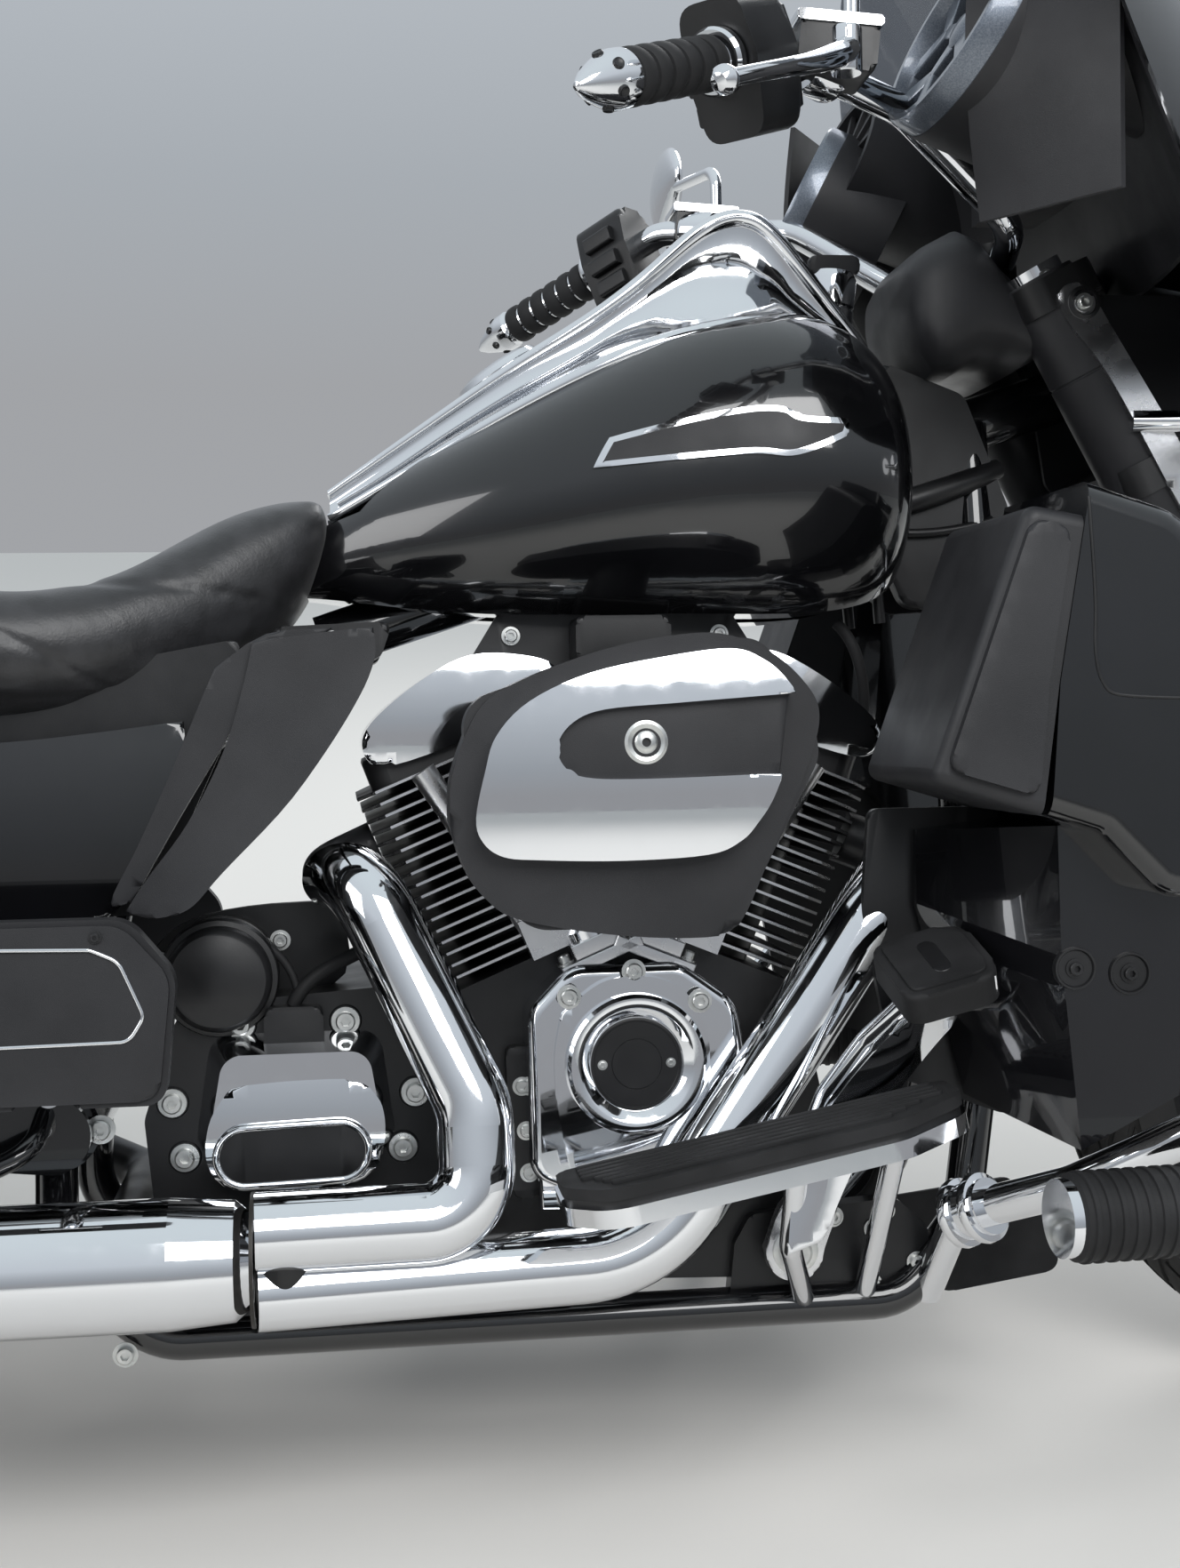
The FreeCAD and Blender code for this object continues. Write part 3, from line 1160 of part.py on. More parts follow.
RACK_HALF = 142
RACK_TUBE = 10
rack_top = BOX_FLOOR - RACK_TUBE - S.seat_gap
rack = bent_tube([V(-176, RACK_HALF, 572), V(-240, RACK_HALF, rack_top), V(-470, RACK_HALF, rack_top)], RACK_TUBE, 40)
rack_ties = [rod(V(x, -RACK_HALF, rack_top), V(x, RACK_HALF, rack_top), RACK_TUBE) for x in (-262, -470)]
rack = fused([rack, mirrored(rack)] + rack_ties).cut(frame)

# Rear lamps and plate bracket on the rear fender
LAMP_BACK = -396
tail = Part.makeBox(34, 120, 70, V(LAMP_BACK, -60, 470))
signals = [Part.makeCylinder(34, 40, V(LAMP_BACK - 10, y, 500), V(1, 0, 0)) for y in (-118, 118)]
bar = rod(V(LAMP_BACK + 12, -118, 500), V(LAMP_BACK + 12, 118, 500), 8)
fender_room = rod(REAR_AXLE - LEFT * 60, REAR_AXLE + LEFT * 60, r_out + S.seat_gap)
lamp_bracket = Part.makeBox(110, 40, 30, V(LAMP_BACK + 20, -20, 480)).cut(fender_room)
feature("rear_lamps", fused([tail, bar, lamp_bracket] + signals))
PLATE_X = LAMP_BACK + 6
PLATE_Z = 392
PLATE_BOLTS = 146
PLATE_BOLT_RADIUS = 3.5
plate = Part.makeBox(4, 178, 104, V(PLATE_X, -89, PLATE_Z - 52))
for side in (1, -1):
    plate = plate.cut(Part.makeCylinder(PLATE_BOLT_RADIUS, 40, V(PLATE_X - 10, side * PLATE_BOLTS / 2, PLATE_Z), V(1, 0, 0)))
plate_bracket = Part.makeBox(90, 40, 30, V(PLATE_X, -20, PLATE_Z + 14)).cut(fender_room)
feature("rear_rack", Part.makeCompound([rack, fused([plate, plate_bracket])]))

# Handlebar, grips and controls
feature("handlebar", bent_tube(bar_line, S.bar_radius, BAR_BEND))
grip_axis = (GRIP_ROOT - GRIP_TIP).normalize()
grip = rod(GRIP_TIP - grip_axis * 4, GRIP_TIP + grip_axis * 128, S.grip_radius)
cap = Part.makeCone(S.grip_radius + 2, 5, 46, GRIP_TIP - grip_axis * 4, -grip_axis)
bar_hole = rod(GRIP_TIP - grip_axis, GRIP_ROOT, S.bar_radius + 0.05)
grip = grip.fuse(cap).cut(bar_hole)
housing = rod(GRIP_TIP + grip_axis * 130, GRIP_TIP + grip_axis * 190, 30).cut(bar_hole)
feature("grips", Part.makeCompound([grip, mirrored(grip), housing, mirrored(housing)]))

# Fairing on the fork: outer shell, inner panel, screen and steering-head cap
FAIRING = (
    # height, half width, front at the centre, edge at the side
    (872, 120, 1474, 1420),
    (912, 236, 1498, 1352),
    (985, 392, 1508, 1262),
    (1070, 412, 1482, 1216),
    (1150, 400, 1436, 1192),
    (1226, 344, 1380, 1204),
)


def crescent(half, front, side, wall):
    """A curved wall seen from above: bowed forward in the middle, its ends square."""
    return [
        Part.Arc(flat(side, -half), flat(front, 0), flat(side, half)),
        Part.LineSegment(flat(side, half), flat(side, half - wall)),
        Part.Arc(flat(side, half - wall), flat(front - wall, 0), flat(side, wall - half)),
        Part.LineSegment(flat(side, wall - half), flat(side, -half)),
    ]


HEADLAMP_RADIUS = 92
HEADLAMP_HEIGHT = 972
outer = new_body("Outer")
loft(outer, "XY_Plane", [(z, crescent(half, front, side, S.fairing_wall)) for z, half, front, side in FAIRING])
lamp_hole = doc.addObject("Part::Cylinder", "LampHole")
lamp_hole.Radius = HEADLAMP_RADIUS + S.seat_gap
lamp_hole.Height = 260
lamp_hole.Placement = Place(V(1400, 0, HEADLAMP_HEIGHT), Turn(V(0, 1, 0), 90))
outer_fairing = doc.addObject("Part::Cut", "outer_fairing")
outer_fairing.Base = outer
outer_fairing.Tool = lamp_hole
finish_piece(outer_fairing)

inner = new_body("Inner")
loft(inner, "XY_Plane", [
    (z, crescent(half - 14, side + (front - side) * 0.42, side + 6, S.fairing_wall)) for z, half, front, side in FAIRING[2:]
])
LAMP_ARM = 9
arm_rear, arm_front = V(1330, 0, 1011), V(1436, 0, 992)
arm_hole = doc.addObject("Part::Cylinder", "ArmHole")
arm_hole.Radius = LAMP_ARM + S.seat_gap
arm_hole.Height = (arm_front - arm_rear).Length
arm_hole.Placement = Place(arm_rear, Turn(UP, arm_front - arm_rear))
inner_fairing = doc.addObject("Part::Cut", "inner_fairing")
inner_fairing.Base = inner
inner_fairing.Tool = arm_hole
finish_piece(inner_fairing)

SCREEN = (
    # height, half width, front at the centre, edge at the side
    (1226 + S.seat_gap, 340, 1379, 1206),
    (1330, 300, 1318, 1190),
    (1440, 210, 1250, 1188),
)
screen = new_body("windshield")
loft(screen, "XY_Plane", [(z, crescent(half, front, side, 4)) for z, half, front, side in SCREEN])
finish_piece(screen)

# Dash: spoked speaker pods, two gauges and the radio, on the inner fairing
doc.recompute()
inner_wall = inner.Tip.Shape.copy()
inner_wall.translate(V(-S.seat_gap, 0, 0))


def behind_wall(shape):
    """The part of a shape on the rider's side of the inner fairing."""
    return min(shape.cut(inner_wall).Solids, key=lambda solid: solid.CenterOfMass.x)


POD_FACE = V(1168, 230, 1180)
POD_RADIUS = 74
pod = Part.makeCone(POD_RADIUS - 12, POD_RADIUS, 150, V(0, 0, -150))
pod = pod.cut(Part.makeCylinder(POD_RADIUS - 7, 20, V(0, 0, -12)))
grille = [Part.makeCylinder(15, 9, V(0, 0, -13))]
for i in range(int(S.grille_spokes)):
    bar = Part.makeBox(POD_RADIUS - 15, 5, 5, V(12, -2.5, -9))
    bar.rotate(V(0, 0, 0), UP, 360 * i / S.grille_spokes)
    grille.append(bar)
pod = fused([pod] + grille)
pod.Placement = Place(POD_FACE, Turn(UP, V(-0.9, -0.14, 0.36)))
pod = behind_wall(pod)
gauges = []
for side in (1, -1):
    gauge = rod(V(1238, side * 62, 1178), V(1400, side * 62, 1150), 46)
    gauge = gauge.cut(rod(V(1230, side * 62, 1179.4), V(1244, side * 62, 1177), 40))
    gauges.append(behind_wall(gauge))
radio = behind_wall(Part.makeBox(200, 150, 36, V(1256, -75, 1078)))
feature("dash_pods", Part.makeCompound([pod, mirrored(pod), radio] + gauges))

CAP_WALL = 3
CAP_LOW = 926
CAP_HALF = 146


def cap_solid(wall, low, front):
    """The steering-head cap's form: a plan outline with a hump-shaped roof."""
    half = CAP_HALF - wall
    plan = Part.Face(Part.Wire([edge.toShape() for edge in rounded([
        (1141 + wall, -50, 20), (1190 + wall, -half, 30), (front, -half, 2), (front, half, 2), (1190 + wall, half, 30), (1141 + wall, 50, 20),
    ])]))
    side = Part.Wire(Part.makePolygon([V(x, 0, z) for x, z in (
        (1130, low), (1130, 966 - wall), (1141, 976 - wall), (1226, 1064 - wall), (1262, 1064 - wall), (front + 1, 1000 - wall),
        (front + 1, low), (1130, low),
    )]))
    plan.translate(V(0, 0, low))
    roof = Part.Face(side).extrude(LEFT * 400)
    roof.translate(LEFT * -200)
    return plan.extrude(UP * 300).common(roof)


cap_shell = cap_solid(0, CAP_LOW, 1296).cut(cap_solid(CAP_WALL, CAP_LOW - 20, 1330))
cap_posts = [rod(V(1264, side * 71, 970), V(1264, side * 71, 1062), 5) for side in (1, -1)]
cap_shell = cap_shell.cut(bent_tube(bar_line, S.bar_radius + 5, BAR_BEND))
feature("fork_cap", cap_shell.multiFuse(cap_posts).cut(bent_tube(bar_line, S.bar_radius + 0.3, BAR_BEND)).cut(upper_clamp).cut(clamp_room))

# Lamps on the fork
headlamp = new_body("Headlamp")
revolve(headlamp, polygon([
    (0, -20), (70, -10), (HEADLAMP_RADIUS, 60), (HEADLAMP_RADIUS, 78), (HEADLAMP_RADIUS - 12, 84), (0, 88),
]))
headlamp.Placement = Place(V(1440, 0, HEADLAMP_HEIGHT), Turn(V(0, 0, 1), -90))

lamp_y = 190
LAMP_HEIGHT = 858
LAMP_ROD = 9
rod_start = fork_point(622, S.fork_half + S.leg_radius + LAMP_ROD + S.seat_gap)
lamp = Part.makeCylinder(46, 70, V(1410, lamp_y, LAMP_HEIGHT), V(1, 0, 0))
signal = Part.makeCylinder(30, 50, V(1400, lamp_y + 92, LAMP_HEIGHT), V(1, 0, 0))
lamp_bar = bent_tube([rod_start, rod_start + V(50, 14, -2), V(1404, lamp_y, LAMP_HEIGHT), V(1404, lamp_y + 96, LAMP_HEIGHT)], LAMP_ROD, 20)
side_lamps = fused([lamp, signal, lamp_bar])
together("front_lamps", [headlamp, raw("SideLamps", Part.makeCompound([side_lamps, mirrored(side_lamps)]))])
doc.recompute()
lamp_arm = rod(arm_rear, arm_front, LAMP_ARM).cut(headlamp.Shape)
feature("triple_clamps", fused([clamps, lamp_arm]))

# Hand levers with their reservoirs, clamped on the bar inboard of the grips, and the mirrors on them
PERCH = 21
bar_run = (BAR_ELBOW - GRIP_ROOT).normalize()
perch_at = GRIP_ROOT + bar_run * 44
perch = rod(perch_at - bar_run * 16, perch_at + bar_run * 16, PERCH)
reservoir = Part.makeBox(52, 58, 30, V(perch_at.x - 6, perch_at.y - 4, perch_at.z - 8))
blade_points = [V(1036, 288, 1112), V(1024, 318, 1096), V(972, 392, 1062), V(914, 444, 1036)]
blade = bent_tube(blade_points, 6, 24)
lever = fused([perch, reservoir, blade, Part.makeSphere(9, blade_points[-1])]).cut(bent_tube(bar_line, S.bar_radius + 0.05, BAR_BEND))
feature("hand_levers", Part.makeCompound([lever, mirrored(lever)]))

stem_foot = V(perch_at.x + 22, perch_at.y + 20, perch_at.z + 22 + S.seat_gap)
mirror_stem = bent_tube([stem_foot, stem_foot + V(0, 2, 48), V(1020, 400, 1196)], 6, 20)
mirror_head = Part.makeSphere(50, V(0, 0, 0))
squash = FreeCAD.Matrix()
squash.scale(0.28, 1.5, 0.85)
mirror_head = mirror_head.transformGeometry(squash)
mirror_head.Placement = Place(V(1026, 430, 1206), Turn())
mirror = mirror_stem.fuse(mirror_head)
feature("mirrors", Part.makeCompound([mirror, mirrored(mirror)]))

# Lower fairings with a storage pocket behind a hinged door
LOWER_IN = 166
LOWER_OUT = 392
LOWER_SPLIT = 214
SKIRT_OUT = 342
DOOR_GAP = 0.3
# the rear face, from the door's foot to the top, as (ahead, height)
LOWER_BACK = [(1151, 545), (1158, 640), (1182, 782)]
lower = new_body("Lower")
pad(lower, rounded([
    (1151, 545, 0), (1190, 532, 14), (1247, 474, 30), (1302, 520, 40), (1306, 640, 40), (1256, 758, 46), (1182, 782, 0), (1158, 640, 0),
]), LOWER_OUT, LOWER_SPLIT)
soften(lower, 16, lambda box: box.YMin > LOWER_OUT - 0.1 and box.XMax > 1184)
pad(lower, rounded([
    (1176, 546, 10), (1247, 470, 30), (1302, 520, 40), (1306, 640, 40), (1256, 758, 46), (1196, 770, 20),
]), LOWER_SPLIT + 1, LOWER_IN)
loft(lower, "XZ_Plane", [
    (-LOWER_SPLIT, polygon([(1104, 528), (1104, 470), (1143, 316), (1262, 350), (1290, 520), (1240, 545)])),
    (-SKIRT_OUT, polygon([(1174, 536), (1176, 440), (1190, 296), (1266, 334), (1288, 520), (1240, 545)])),
], ruled=True)
pocket(lower, rounded([(1040, 580, 1), (1238, 580, 10), (1238, 730, 10), (1040, 730, 1)]), LOWER_OUT - 20, LOWER_SPLIT + 14)
pair("lower_fairings", lower)

DOOR_HINGE_X, DOOR_HINGE_Z = 1070, 562
DOOR_CORNER = 10
door = new_body("Door")
pad(door, rounded([
    (1064, 571, DOOR_CORNER), (1145, 546, 0), (LOWER_BACK[1][0] - DOOR_GAP, 640, 0), (1178 - DOOR_GAP, 758, 0), (1136, 766, 12),
]), LOWER_OUT - 1, LOWER_SPLIT + 4)
soften(door, 10, lambda box: box.YMin > LOWER_OUT - 1.1 and box.XMin < 1135 and box.XMax < 1150)
pocket(door, polygon([(1090, 588), (1200, 572), (1200, 742), (1146, 742)]), LOWER_OUT - 20, LOWER_SPLIT + 16)
left_and_right("storage_door", door)

# Engine guard in front of the lower fairings, and its clamps on the frame
GUARD = [
    V(1152, 172, 208), V(1215, 262, 250), V(1320, 362, 330), V(1330, 408, 452), V(1330, 400, 560), V(1328, 330, 650),
    V(1326, 180, 628), V(1326, 40, 600),
]
guard = bent_tube(both_sides(GUARD), S.guard_tube, 60)
guard_clamps = [rod(V(1326, side * 54, 602), V(1228, side * 56, 588), 10) for side in (1, -1)]
guard_feet = [rod(GUARD[0], V(1140, S.rail_half, S.rail_height + 4), 13)]
guard_stays = [rod(V(1327, 262, 640), V(1290, 262, 636), 7)]
collar = rod(GUARD[0] - (GUARD[1] - GUARD[0]).normalize() * 2, GUARD[0] + (GUARD[1] - GUARD[0]).normalize() * 34, 23)
highway_peg = [rod(V(1150, 398, 262), V(1262, 392, 262), 28), bent_tube([V(1252, 392, 262), V(1300, 384, 268), V(1320, 366, 334)], 11, 20)]
guard_feet += guard_stays + [collar] + highway_peg
guard = fused([guard] + guard_feet + [mirrored(foot) for foot in guard_feet] + guard_clamps).cut(frame)
doc.recompute()
lower_room = lower.Tip.Shape
feature("guards", guard.cut(lower_room).cut(mirrored(lower_room)))

# Rider footboards and their brackets, hinged to fold up
BOARD_REAR = V(812, 0, 250)
BOARD_FRONT = V(1118, 0, 309)
board_slope = math.degrees(math.atan2(BOARD_FRONT.z - BOARD_REAR.z, BOARD_FRONT.x - BOARD_REAR.x))
board_length = (BOARD_FRONT - BOARD_REAR).Length
BOARD_THICKNESS = 14
board = new_body("Board")
board_pad = board.newObject("PartDesign::Pad", "Pad")
board_pad.Profile = add_sketch(board, "XY_Plane", rounded([
    (0, 6, 10), (board_length, 6, 10), (board_length, S.board_width - 34, 30), (board_length - 60, S.board_width, 40), (30, S.board_width, 40), (0, S.board_width - 40, 30),
]))
board_pad.Length = BOARD_THICKNESS
board.Placement = Place(V(BOARD_REAR.x, S.board_hinge, BOARD_REAR.z), Turn(V(0, 1, 0), -board_slope))
left_and_right("rider_board", board)

CARRIER = 7
STRUT = 9


def under_board(x):
    """The carrier bar's centre below the board's inner edge, at x."""
    share = (x - BOARD_REAR.x) / (BOARD_FRONT.x - BOARD_REAR.x)
    return V(x, S.board_hinge + CARRIER, BOARD_REAR.z + share * (BOARD_FRONT.z - BOARD_REAR.z) - CARRIER - 0.5)


LEVER_PIVOT = V(1002, 204, 198)
carrier = fused([
    rod(under_board(832), under_board(1104), CARRIER),
    bent_tube([V(LEVER_PIVOT.x + 32, S.rail_half, S.rail_height), LEVER_PIVOT, under_board(LEVER_PIVOT.x)], STRUT, 20),
    rod(V(1084, S.rail_half, S.rail_height), under_board(1084), STRUT),
])

# Passenger footboards, folded up as in the photograph
PASSENGER_HINGE = V(400, 268, 354)
HINGE_PIN = 4
passenger = new_body("PassengerBoard")
pad(passenger, rounded([(276, 346, 20), (524, 346, 16), (534, 440, 30), (500, 482, 30), (300, 482, 40)]), PASSENGER_HINGE.y + 12, PASSENGER_HINGE.y - 8)
pocket(passenger, polygon([(416, 330), (464, 330), (464, 366), (416, 366)]), PASSENGER_HINGE.y + 12, PASSENGER_HINGE.y - 8)
pin_room = doc.addObject("Part::Cylinder", "PinRoom")
pin_room.Radius = HINGE_PIN + 0.2
pin_room.Height = 90
pin_room.Placement = Place(V(395, PASSENGER_HINGE.y, PASSENGER_HINGE.z), Turn(V(0, 1, 0), 90))
bored = doc.addObject("Part::Cut", "BoredBoard")
bored.Base = passenger
bored.Tool = pin_room
left_and_right("passenger_board", bored)
pin_at = V(440, PASSENGER_HINGE.y, PASSENGER_HINGE.z)
passenger_bracket = fused([
    rod(V(440, S.rail_half + 4, PASSENGER_HINGE.z), pin_at, 9),
    rod(pin_at - V(40, 0, 0), pin_at + V(40, 0, 0), HINGE_PIN),
]).cut(frame)

# Brake pedal on the right and shift lever on the left
pedal = bent_tube([
    LEVER_PIVOT, V(1006, 212, 262), V(1030, 212, 320), V(1060, 230, 366), V(1100, 270, 416),
], 8, 30)
brake_pad = Part.makeBox(66, 76, 16, V(-33, -38, -8))
brake_pad.Placement = Place(V(1098, 288, 424), Turn(V(0, 1, 0), -14).multiply(Turn(V(1, 0, 0), -22)))
pedal = pedal.fuse(brake_pad)
shifter = bent_tube([LEVER_PIVOT, V(1006, 212, 262), V(1030, 212, 320), V(1104, 236, 396), V(1104, 300, 400)], 8, 20)
right = fused([mirrored(carrier), mirrored(pedal)]).cut(frame)
left = fused([carrier, shifter]).cut(frame)
feature("foot_controls", Part.makeCompound([right, left, passenger_bracket, mirrored(passenger_bracket)]))

# Side stand, down, with its foot flat on the ground
stand = fused([
    rod(STAND_PIVOT - stand_axis * STAND_EYE_HALF, STAND_PIVOT + stand_axis * STAND_EYE_HALF, STAND_EYE),
    rod(STAND_PIVOT, stand_foot + level * 4, 12),
    Part.makeCylinder(30, STAND_FOOT_THICKNESS, stand_foot - level * STAND_FOOT_THICKNESS, level),
]).cut(rod(STAND_PIVOT - stand_axis * 24, STAND_PIVOT + stand_axis * 24, STAND_PIN + 0.3))
feature("side_stand", stand)

doc.recompute()
failed = [f"{item.Name}: {item.State}" for item in doc.Objects if {"Invalid", "Error"} & set(item.State)]
for piece in nodes:
    if piece.Shape.isNull() or not piece.Shape.isValid() or not piece.Shape.Solids:
        failed.append(f"{piece.Label}: shape")
if failed:
    raise RuntimeError("; ".join(failed))
for piece in nodes:
    piece.Shape.exportStep(f"parts/{piece.Label}.step")
print(len(nodes), "sub-parts")
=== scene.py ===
"""Touring cruiser motorcycle, parked leaning on its side stand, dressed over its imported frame."""
import json
import math
import bmesh
import bpy
from mathutils import Matrix, Vector
from mathutils.bvhtree import BVHTree


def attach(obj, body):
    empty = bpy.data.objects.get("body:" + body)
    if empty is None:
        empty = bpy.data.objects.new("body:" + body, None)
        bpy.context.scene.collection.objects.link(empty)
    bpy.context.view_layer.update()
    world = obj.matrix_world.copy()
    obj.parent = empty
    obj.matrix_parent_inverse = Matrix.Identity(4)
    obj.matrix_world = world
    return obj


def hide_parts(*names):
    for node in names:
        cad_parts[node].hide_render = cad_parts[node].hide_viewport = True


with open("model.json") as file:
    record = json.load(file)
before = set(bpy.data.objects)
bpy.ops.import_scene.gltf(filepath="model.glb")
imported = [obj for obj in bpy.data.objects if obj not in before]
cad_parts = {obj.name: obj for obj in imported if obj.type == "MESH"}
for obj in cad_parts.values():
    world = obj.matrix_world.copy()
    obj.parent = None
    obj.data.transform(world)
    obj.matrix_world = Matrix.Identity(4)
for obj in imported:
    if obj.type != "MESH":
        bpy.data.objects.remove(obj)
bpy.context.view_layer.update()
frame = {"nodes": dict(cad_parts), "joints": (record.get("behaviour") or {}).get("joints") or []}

# The parked motorcycle
# Every length below is in millimetres on the upright machine: X forward from the rear axle, Y to the rider's
# left, Z up from the ground. The lean onto the side stand then carries a point to where the frame has it.
LEAN = math.radians(-10)
REAR_AXLE = Vector((0, 0, 320))
FRONT_AXLE = Vector((1625, 0, 320))
spin = next(joint for joint in frame["joints"] if joint["name"] == "rear_wheel_spin")
rest_axle = Vector(spin["pos_m"])
lean_turn = Matrix.Rotation(LEAN, 4, "X")
parked = Matrix.Translation(rest_axle - lean_turn @ (REAR_AXLE / 1000)) @ lean_turn @ Matrix.Scale(0.001, 4)


def at(x, y, z):
    """A point of the upright motorcycle, in the scene's metres."""
    return parked @ Vector((x, y, z))


def finish(name, bump, rough, shades, settings):
    """A finish with a bump (scale, distance, strength), a roughness and shades (scale, low, high)."""
    material = bpy.data.materials.new(name)
    material.use_nodes = True
    nodes, links = material.node_tree.nodes, material.node_tree.links
    shader = nodes["Principled BSDF"]
    for label, value in settings.items():
        shader.inputs[label].default_value = value
    place = nodes.new("ShaderNodeTexCoord")

    def patches(scale, detail):
        noise_node = nodes.new("ShaderNodeTexNoise")
        noise_node.inputs["Scale"].default_value = scale
        noise_node.inputs["Detail"].default_value = detail
        links.new(place.outputs["Object"], noise_node.inputs["Vector"])
        return noise_node.outputs["Fac"]

    scale, distance, strength = bump
    relief = nodes.new("ShaderNodeBump")
    relief.inputs["Strength"].default_value = strength
    relief.inputs["Distance"].default_value = distance
    links.new(patches(scale, 2.0 if name == "chrome" else 4.0), relief.inputs["Height"])
    links.new(relief.outputs["Normal"], shader.inputs["Normal"])
    if rough:
        scale, smooth, dull = rough
        span = nodes.new("ShaderNodeMapRange")
        for label, value in (("From Min", 0.32), ("From Max", 0.68), ("To Min", smooth), ("To Max", dull)):
            span.inputs[label].default_value = value
        links.new(patches(scale, 6.0), span.inputs["Value"])
        links.new(span.outputs["Result"], shader.inputs["Roughness"])
    if shades:
        scale, dark, light = shades
        ramp = nodes.new("ShaderNodeValToRGB")
        for stop, position, colour in zip(ramp.color_ramp.elements, (0.35, 0.65), (dark, light)):
            stop.position, stop.color = position, (*colour, 1)
        links.new(patches(scale, 8.0), ramp.inputs["Fac"])
        links.new(ramp.outputs["Color"], shader.inputs["Base Color"])
    return material


def dress(material, *names):
    """Give frame nodes their finish."""
    for name in names:
        for slot in frame["nodes"][name].material_slots:
            slot.material = material


black_paint = finish("black_paint", (180, 0.0003, 0.04), (9, 0.08, 0.20),
                     (6, (0.0025, 0.0026, 0.003), (0.005, 0.005, 0.006)),
                     {"Coat Weight": 1.0, "Coat Roughness": 0.015, "Specular IOR Level": 0.3})
dress(black_paint, "fuel_tank", "front_fender", "rear_fender", "frame", "swingarm", "front_wheel", "rear_wheel",
      "saddlebags", "saddlebag_lid_left", "saddlebag_lid_right", "top_box", "top_box_lid", "outer_fairing",
      "lower_fairings")

# Chrome
# Exhaust shields, covers, guard, forks and trim: polished chrome plate with faint wipe marks and water spots.
chrome = finish("chrome", (24, 0.0008, 0.03), (60, 0.02, 0.09), None,
                {"Base Color": (0.74, 0.75, 0.77, 1), "Metallic": 1.0})
dress(chrome, "fork_legs", "rocker_covers", "engine_covers", "air_cleaner", "heat_shields", "mufflers",
      "rear_rack", "handlebar", "front_lamps", "mirrors", "guards", "foot_controls", "hand_levers", "horn",
      "rider_board_left", "rider_board_right", "console")

# Satin black metal
# Engine cases, cylinders, clamps and the bare header pipes: black powder coat, slightly rough.
satin_black = finish("satin_black", (1100, 0.0002, 0.3), (20, 0.30, 0.46),
                     (14, (0.006, 0.006, 0.0065), (0.011, 0.011, 0.012)), {"Specular IOR Level": 0.4})
dress(satin_black, "crankcase", "cylinders", "rocker_boxes", "gearbox", "triple_clamps", "rear_shocks",
      "side_stand", "exhaust_headers", "calipers")

# Moulded black plastic
# Air-cleaner back, fork cap, inner fairing, doors and boards: grained, unpainted moulding with light scuffs.
moulding = finish("moulded_plastic", (1600, 0.0003, 0.4), (16, 0.40, 0.56),
                  (11, (0.012, 0.012, 0.0135), (0.019, 0.019, 0.021)), {"Specular IOR Level": 0.35})
dress(moulding, "air_cleaner_backplate", "inner_fairing", "fork_cap", "storage_door_left", "storage_door_right",
      "passenger_board_left", "passenger_board_right", "dash_pods", "side_panels")

# Bright machined aluminium
# Fin edges, lifter blocks and brackets: bare alloy with fine tool marks.
alloy = finish("machined_alloy", (700, 0.0002, 0.2), (30, 0.2, 0.34), None,
               {"Base Color": (0.62, 0.62, 0.63, 1), "Metallic": 1.0})
dress(alloy, "pushrod_tubes", "front_axle", "rear_axle")

# Turned steel
# Brake discs and the belt pulley: bright steel, dulled evenly by turning and by the pads.
steel = finish("turned_steel", (500, 0.0002, 0.2), (25, 0.24, 0.38), None,
               {"Base Color": (0.47, 0.47, 0.49, 1), "Metallic": 1.0})
dress(steel, "front_discs", "rear_disc_and_pulley")

# Black rubber
# Grips, footboard mats, pedal pad and the flap: dull moulded rubber, greyed where boots and hands rub.
rubber = finish("rubber", (800, 0.0004, 0.3), (12, 0.6, 0.8),
                (18, (0.009, 0.009, 0.0095), (0.018, 0.018, 0.019)), {"Specular IOR Level": 0.25})
dress(rubber, "grips")

# Tinted screen and red lenses
# The windshield is smoked acrylic; the tail lamps are moulded red acrylic.
screen_tint = finish("tinted_screen", (40, 0.0002, 0.02), (30, 0.01, 0.04), None,
                     {"Base Color": (0.22, 0.23, 0.25, 1), "Transmission Weight": 0.92, "IOR": 1.3})
dress(screen_tint, "windshield")
red_lens = finish("red_lens", (260, 0.0006, 0.25), (30, 0.14, 0.24), None,
                  {"Base Color": (0.42, 0.01, 0.012, 1), "Coat Weight": 1.0})
dress(red_lens, "rear_lamps")


# Tyres
# Rubber carcasses with a groove down the middle and slanted tread blocks, moulded in one and fitted on
# the rims.
def mesh_of(name, shape):
    """A mesh from a shape, which is a list of points and a list of faces."""
    mesh = bpy.data.meshes.new(name)
    mesh.from_pydata([tuple(point) for point in shape[0]], [], shape[1])
    return mesh


def shape_of(mesh):
    """A mesh's points and faces."""
    return [v.co.copy() for v in mesh.vertices], [tuple(p.vertices) for p in mesh.polygons]


def new_piece(name, shape, material, body="chassis", sharp=35.0):
    """A finished piece from points of the upright motorcycle, riding on a body."""
    return settle(name, mesh_of(name, shape), material, body, sharp)


def turns(count, start=0.0):
    """Angles round a full circle."""
    return [math.tau * i / count + start for i in range(count)]


def settle(name, mesh, material, body, sharp):
    """Clean a mesh, face it outwards, put it in its place and let it ride."""
    shape = bmesh.new()
    shape.from_mesh(mesh)
    bmesh.ops.remove_doubles(shape, verts=shape.verts, dist=0.01)
    bmesh.ops.recalc_face_normals(shape, faces=shape.faces)
    shape.to_mesh(mesh)
    shape.free()
    mesh.transform(parked)
    mesh.shade_smooth()
    mesh.set_sharp_from_angle(angle=math.radians(sharp))
    mesh.materials.clear()
    mesh.materials.append(material)
    piece = bpy.data.objects.new(name, mesh)
    bpy.context.scene.collection.objects.link(piece)
    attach(piece, body)
    return piece


